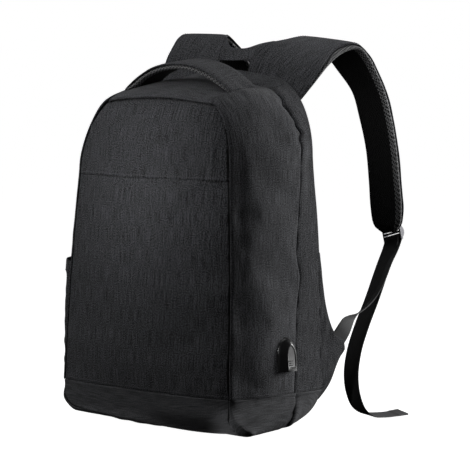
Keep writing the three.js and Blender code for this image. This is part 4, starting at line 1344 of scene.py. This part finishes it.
WEB_WIDTH = 25
WEB_THICK = 1.5
WEBBING_RIGHT = [
    (150, 112.9, 108, 90, -39), (151, 122, 119, 93, -36), (149, 131, 127, 102, -28),
    (145, 142, 131, 115, -18), (139, 160, 134.5, 130, -6), (131, 183, 140, 137, -3),
    (122, 210, 150, 140, -4), (112, 237, 168, 145, -6), (102, 260, 189, 152, -9),
    (92, 280, 204, 166, -13), (85, 290.7, 212.7, 178, -15), (83.7, 293.7, 218, 180, -15),
    (82.2, 290.3, 222.6, 180, -15), (83.7, 286.9, 218, 180, -15), (85.5, 281, 208.2, 180, -12),
    (92, 262, 187, 180, -6), (100, 230, 144, 180, -3), (106.5, 204, 113, 180, 0), (113.5, 182, 83, 180, 0),
    (119.5, 170, 56, 180, 2), (124.5, 168, 33, 180, 4), (130, 173, 14, 180, 6), (135, 184, 5, 180, 7),
    (138, 199, 3.2, 180, 8), (141, 220, 2.6, 176, 6), (142, 243, 3.0, 168, 8),
]
WEBBING_LEFT = [
    (150, 112.9, 108, 90, -39), (151, 124, 119, 93, -34), (149, 138, 124, 100, -24),
    (144, 156, 121, 112, -12), (137, 174, 110, 124, -4), (128, 190, 98, 134, 0), (118, 204, 93, 144, -2),
    (109, 212, 100, 154, -6), (102, 213, 120, 164, -10), (94, 209, 145, 172, -13),
    (88, 201, 167, 178, -15), (86, 194.6, 181, 180, -15), (84.8, 190.8, 185, 180, -15),
    (86, 187, 181, 180, -15), (87, 184, 172, 180, -13), (91, 179, 145, 180, -9), (95, 174, 112, 180, -5),
    (98, 172, 80, 180, -2), (99, 173, 48, 180, 2), (100, 178, 24, 179, 6), (103, 189, 9.5, 176, 11),
    (107, 205, 5.2, 172, 14), (113, 228, 4.8, 166, 15), (121, 254, 4.8, 161, 15), (133, 285, 4.8, 157, 15),
    (144, 310, 4.8, 155, 15),
]
WEB_STEPS = 320
WEB_FOLD = 18                 # length of the folded and sewn end
WEB_SEWN_IN = 0.4             # how far it carries on inside the wing, as a share of its first stretch
WEB_LINES = np.array([0, 0.02, 0.06, 0.14, 0.26, 0.38, 0.5, 0.62, 0.74, 0.86, 0.94, 0.98, 1])


def add_webbing():
    for name, side, rows in (("right", 1, WEBBING_RIGHT), ("left", -1, WEBBING_LEFT)):
        table = np.array(rows, float)
        table = np.vstack([mix(table[0], table[1], -WEB_SEWN_IN), table])
        bearing, tilt = np.radians(table[:, 3:]).T
        reach = WEB_WIDTH / 2 * np.stack([
            np.cos(tilt) * np.cos(bearing), np.cos(tilt) * np.sin(bearing), np.sin(tilt)], axis=-1)
        mirror = np.array([side, 1, 1])
        shares = np.linspace(0, 1, WEB_STEPS + 1)
        first = curve((table[:, :3] - reach) * mirror, shares)
        second = curve((table[:, :3] + reach) * mirror, shares)
        points = mix(first[:, None], second[:, None], WEB_LINES[None, :, None])
        normals = grid_normals(points)
        edge = np.minimum(WEB_LINES, 1 - WEB_LINES) * WEB_WIDTH
        half = WEB_THICK / 2 * np.sqrt(np.clip(1 - (1 - edge / 1.2).clip(0) ** 2, 0.06, 1))
        run = run_lengths(points, 0)
        folded = 1 + 0.8 * rise(WEB_FOLD - (run[-1:] - run), 0, 1.5)
        above = points + normals * (half * folded)[..., None]
        below = points - normals * half[:, None]
        quads = WEB_STEPS * (len(WEB_LINES) - 1)
        rim = 2 * (WEB_STEPS + len(WEB_LINES) - 1)
        tones = np.repeat([0, 1, 0] if side > 0 else [1, 0, 0], [quads, quads, rim])
        piece = make_slab(f"webbing_{name}_band", above, below, weave_lengths(points, True),
                          [WEB_GREY, WEB_BLACK], f"webbing_{name}", tones)


# Anchor wings: rows with their height and how far they reach behind the bag's rear edge

WING = np.array([
    (216, 1.5), (190, 3.2), (164, 6.4), (148, 9), (134, 13), (117, 21), (102.5, 38), (94.5, 39),
    (84, 30), (68, 20), (50, 11), (34, 1.5),
], float)
WING_THICK = 3
WING_SPLAY = 0.05
WING_ROOT = 7.0               # it starts this far under the rear panel
WING_LEAST = 20               # least mean length across it that its grid is made for


def add_wings():
    section = section_at(REAR_EDGE)
    outline = Outline(section)
    for name, side in (("right", 1), ("left", -1)):
        def surface(first, second, side=side):
            z, reach = np.hsplit(column(WING, first * (len(WING) - 1)), 2)
            x = outline.at(outline.turn_at(z))[0]
            out = mix(-WING_ROOT, reach, second[None, :])
            spine = x - WING_THICK / 2 + WING_SPLAY * np.maximum(out, 0)
            y = depth_at(section, z) + out
            return np.stack([side * spine, y, np.broadcast_to(z, y.shape)], axis=-1)

        def soft(points, top, low, root, tip, side=side):
            inside = rise(root, WING_ROOT, 16) * rise(tip, 0, 9)
            folds = 0.35 * waves(51, 11, 26)(points[..., 1] - 0.25 * points[..., 2]) * inside
            emerge = mix(-0.6, 0.4, rise(root, 0, WING_ROOT))
            return side * (WING_THICK / 2 + emerge + folds)

        height, across = mean_size(surface, 60, 20)
        wing = add_panel(
            f"anchor_wing_{name}_fabric", f"anchor_wing_{name}", surface, (height, max(WING_LEAST, across)),
            (OPEN, OPEN, OPEN, OPEN), HEATHER, rows_along=True, step=2.5,
            thick=side * WING_THICK, extra=soft, swell=0.1)
        mesh = wing.piece.data
        mesh.materials.append(ACCENT)
        for face in mesh.polygons:
            face.material_index = int(face.center.z < BASE_BAND * MM)


# Charging port: rings with how far they stand off the wall, their width and their height

PORT_RINGS = np.array([(0, 33, 41), (3.5, 31.5, 40), (9.5, 20, 35.5), (11.5, 15.5, 32.5)], float)
PORT_SHARES = np.array([0, 0.35, 0.7, 1, 1.3, 1.6, 1.85, 2, 2.12, 2.3, 2.6, 2.85, 3])
PORT_DISH = ((0.93, -0.15), (0.8, 0.1), (0.74, 0.6))     # its outer face: shares of its rim, and depths
PORT_TURNS = 40
PORT_SLANT = 1.6              # how far its outer face lies behind its middle
PORT_WALL = 154.0
PORT_DEPTH = 12.5
PORT_FLOOR = 76.5
PORT_STRAIGHT = 0.5
PORT_POINT = 0.2              # 0 is a round arch, 1 a pointed one
PORT_LEAN = 0.08              # how far its outer face leans back for each millimetre of height
SOCKET = np.array([6, 14, 30])
SOCKET_OUT = 5.75
RIB_COUNT = 4
RIB_SIZE = np.array([0.8, 5.6, 1.1])
RIB_OUT = 11.2
RIB_PITCH = 2.6
RIB_FOOT = 5.0
RIB_BEVEL = 0.25


def port_ring(out, width, height):
    straight = PORT_STRAIGHT * height
    angle = np.linspace(0, np.pi, PORT_TURNS + 1)
    y = np.concatenate([[width / 2], width / 2 * np.cos(angle), [-width / 2]])
    arch = mix(np.sin(angle), 1 - np.abs(np.cos(angle)) ** 1.6, PORT_POINT)
    z = np.concatenate([[0], straight + (height - straight) * arch, [0]])
    share = out / PORT_RINGS[-1, 0]
    return np.stack([PORT_WALL + out - PORT_LEAN * z * share, PORT_DEPTH + PORT_SLANT * share + y,
                     PORT_FLOOR + z], axis=-1)


def make_boxes(name, middles, size, bevel=0):
    """An object of equal boxes, by their middles."""
    shape = bmesh.new()
    for middle in middles:
        for vertex in bmesh.ops.create_cube(shape, size=1.0)["verts"]:
            vertex.co = Vector(MM * (middle + np.array(vertex.co) * size))
    if bevel:
        bmesh.ops.bevel(shape, geom=shape.edges[:], offset=bevel * MM, segments=2, affect="EDGES")
    mesh = bpy.data.meshes.new(name)
    shape.to_mesh(mesh)
    shape.free()
    boxes = bpy.data.objects.new(name, mesh)
    SCENE.collection.objects.link(boxes)
    return boxes


def add_port():
    rings = [port_ring(*row) for row in column(PORT_RINGS, PORT_SHARES)]
    rim = rings[-1]
    rings += [mix(rim.mean(axis=0), rim, share) - [depth, 0, 0] for share, depth in PORT_DISH]
    rings = np.swapaxes(rings, 0, 1)
    foot = np.array([PORT_WALL, PORT_DEPTH, PORT_FLOOR])
    hood = make_tube("port_hood", rings, [PLASTIC], "usb_port",
                     np.zeros((rings.shape[0], rings.shape[1] - 1)))
    cutter = make_boxes("cutter", [foot + [SOCKET_OUT, 0, 0]], SOCKET)
    cut = hood.modifiers.new("socket", "BOOLEAN")
    cut.object = cutter
    hollow = bpy.data.meshes.new_from_object(hood.evaluated_get(bpy.context.evaluated_depsgraph_get()))
    hood.modifiers.clear()
    hood.data = hollow
    bpy.data.objects.remove(cutter)
    heights = RIB_FOOT + RIB_PITCH * np.arange(RIB_COUNT)
    ribs = make_boxes("port_ribs", [foot + [RIB_OUT, 0, height] for height in heights], RIB_SIZE, RIB_BEVEL)
    ribs.data.materials.append(PLASTIC)
    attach(ribs, "root")


ADJUSTER_BEVEL = 0.6


def finish_adjusters():
    for name in ("adjuster_right", "adjuster_left"):
        frame_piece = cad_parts[name]
        frame_piece.data.materials.clear()
        frame_piece.data.materials.append(STEEL)
        bevel = frame_piece.modifiers.new("bevel", "BEVEL")
        bevel.width = ADJUSTER_BEVEL * MM
        bevel.segments = 3
        bevel.limit_method = "ANGLE"


shell_panels = add_shell_panels()
front_panels = add_front_panels()
add_back_panel()
pocket = add_side_pocket()
straps = add_straps()
add_yoke()
handle = add_handle()
add_webbing()
add_wings()
add_port()
finish_adjusters()

add_stitches("front_stitches", [
    seam_path(front_panels["front_upper"], "first column", 3.2),
    seam_path(front_panels["front_pocket"], "first column"),
])
add_stitches("gusset_stitches", [
    seam_path(shell_panels[name], border)
    for name, border in (("gusset_right", "first column"), ("gusset_left", "last column"),
                         ("rear_right", "first column"), ("rear_left", "last column"),
                         ("gusset_top", "first column"), ("gusset_top", "last column"))
])
# Light thread laid close along the toe's seam: real stitches, and also a painted highlight standing in for
# the lit edge of the seam's lip.
toe_line, toe_up = seam_path(shell_panels["gusset_base"], "first row", 0.9)
at_toe = (toe_line[:, 0] > 100) & (toe_line[:, 2] < 20)
add_stitches("toe_highlight_stitches", [(toe_line[at_toe], toe_up[at_toe])], 2.3, 2.2, 0.45)
add_stitches("strap_stitches", [
    seam_path(panel, border, inset)
    for panel in straps.values() for border in ("first row", "last row") for inset in (3.6, 7.4)
])
add_stitches("handle_stitches", [
    seam_path(handle, border, 3.6)
    for border in ("first column", "last column", "first row", "last row")
])
add_stitches("pocket_stitches", [seam_path(pocket, "first column", 14)])
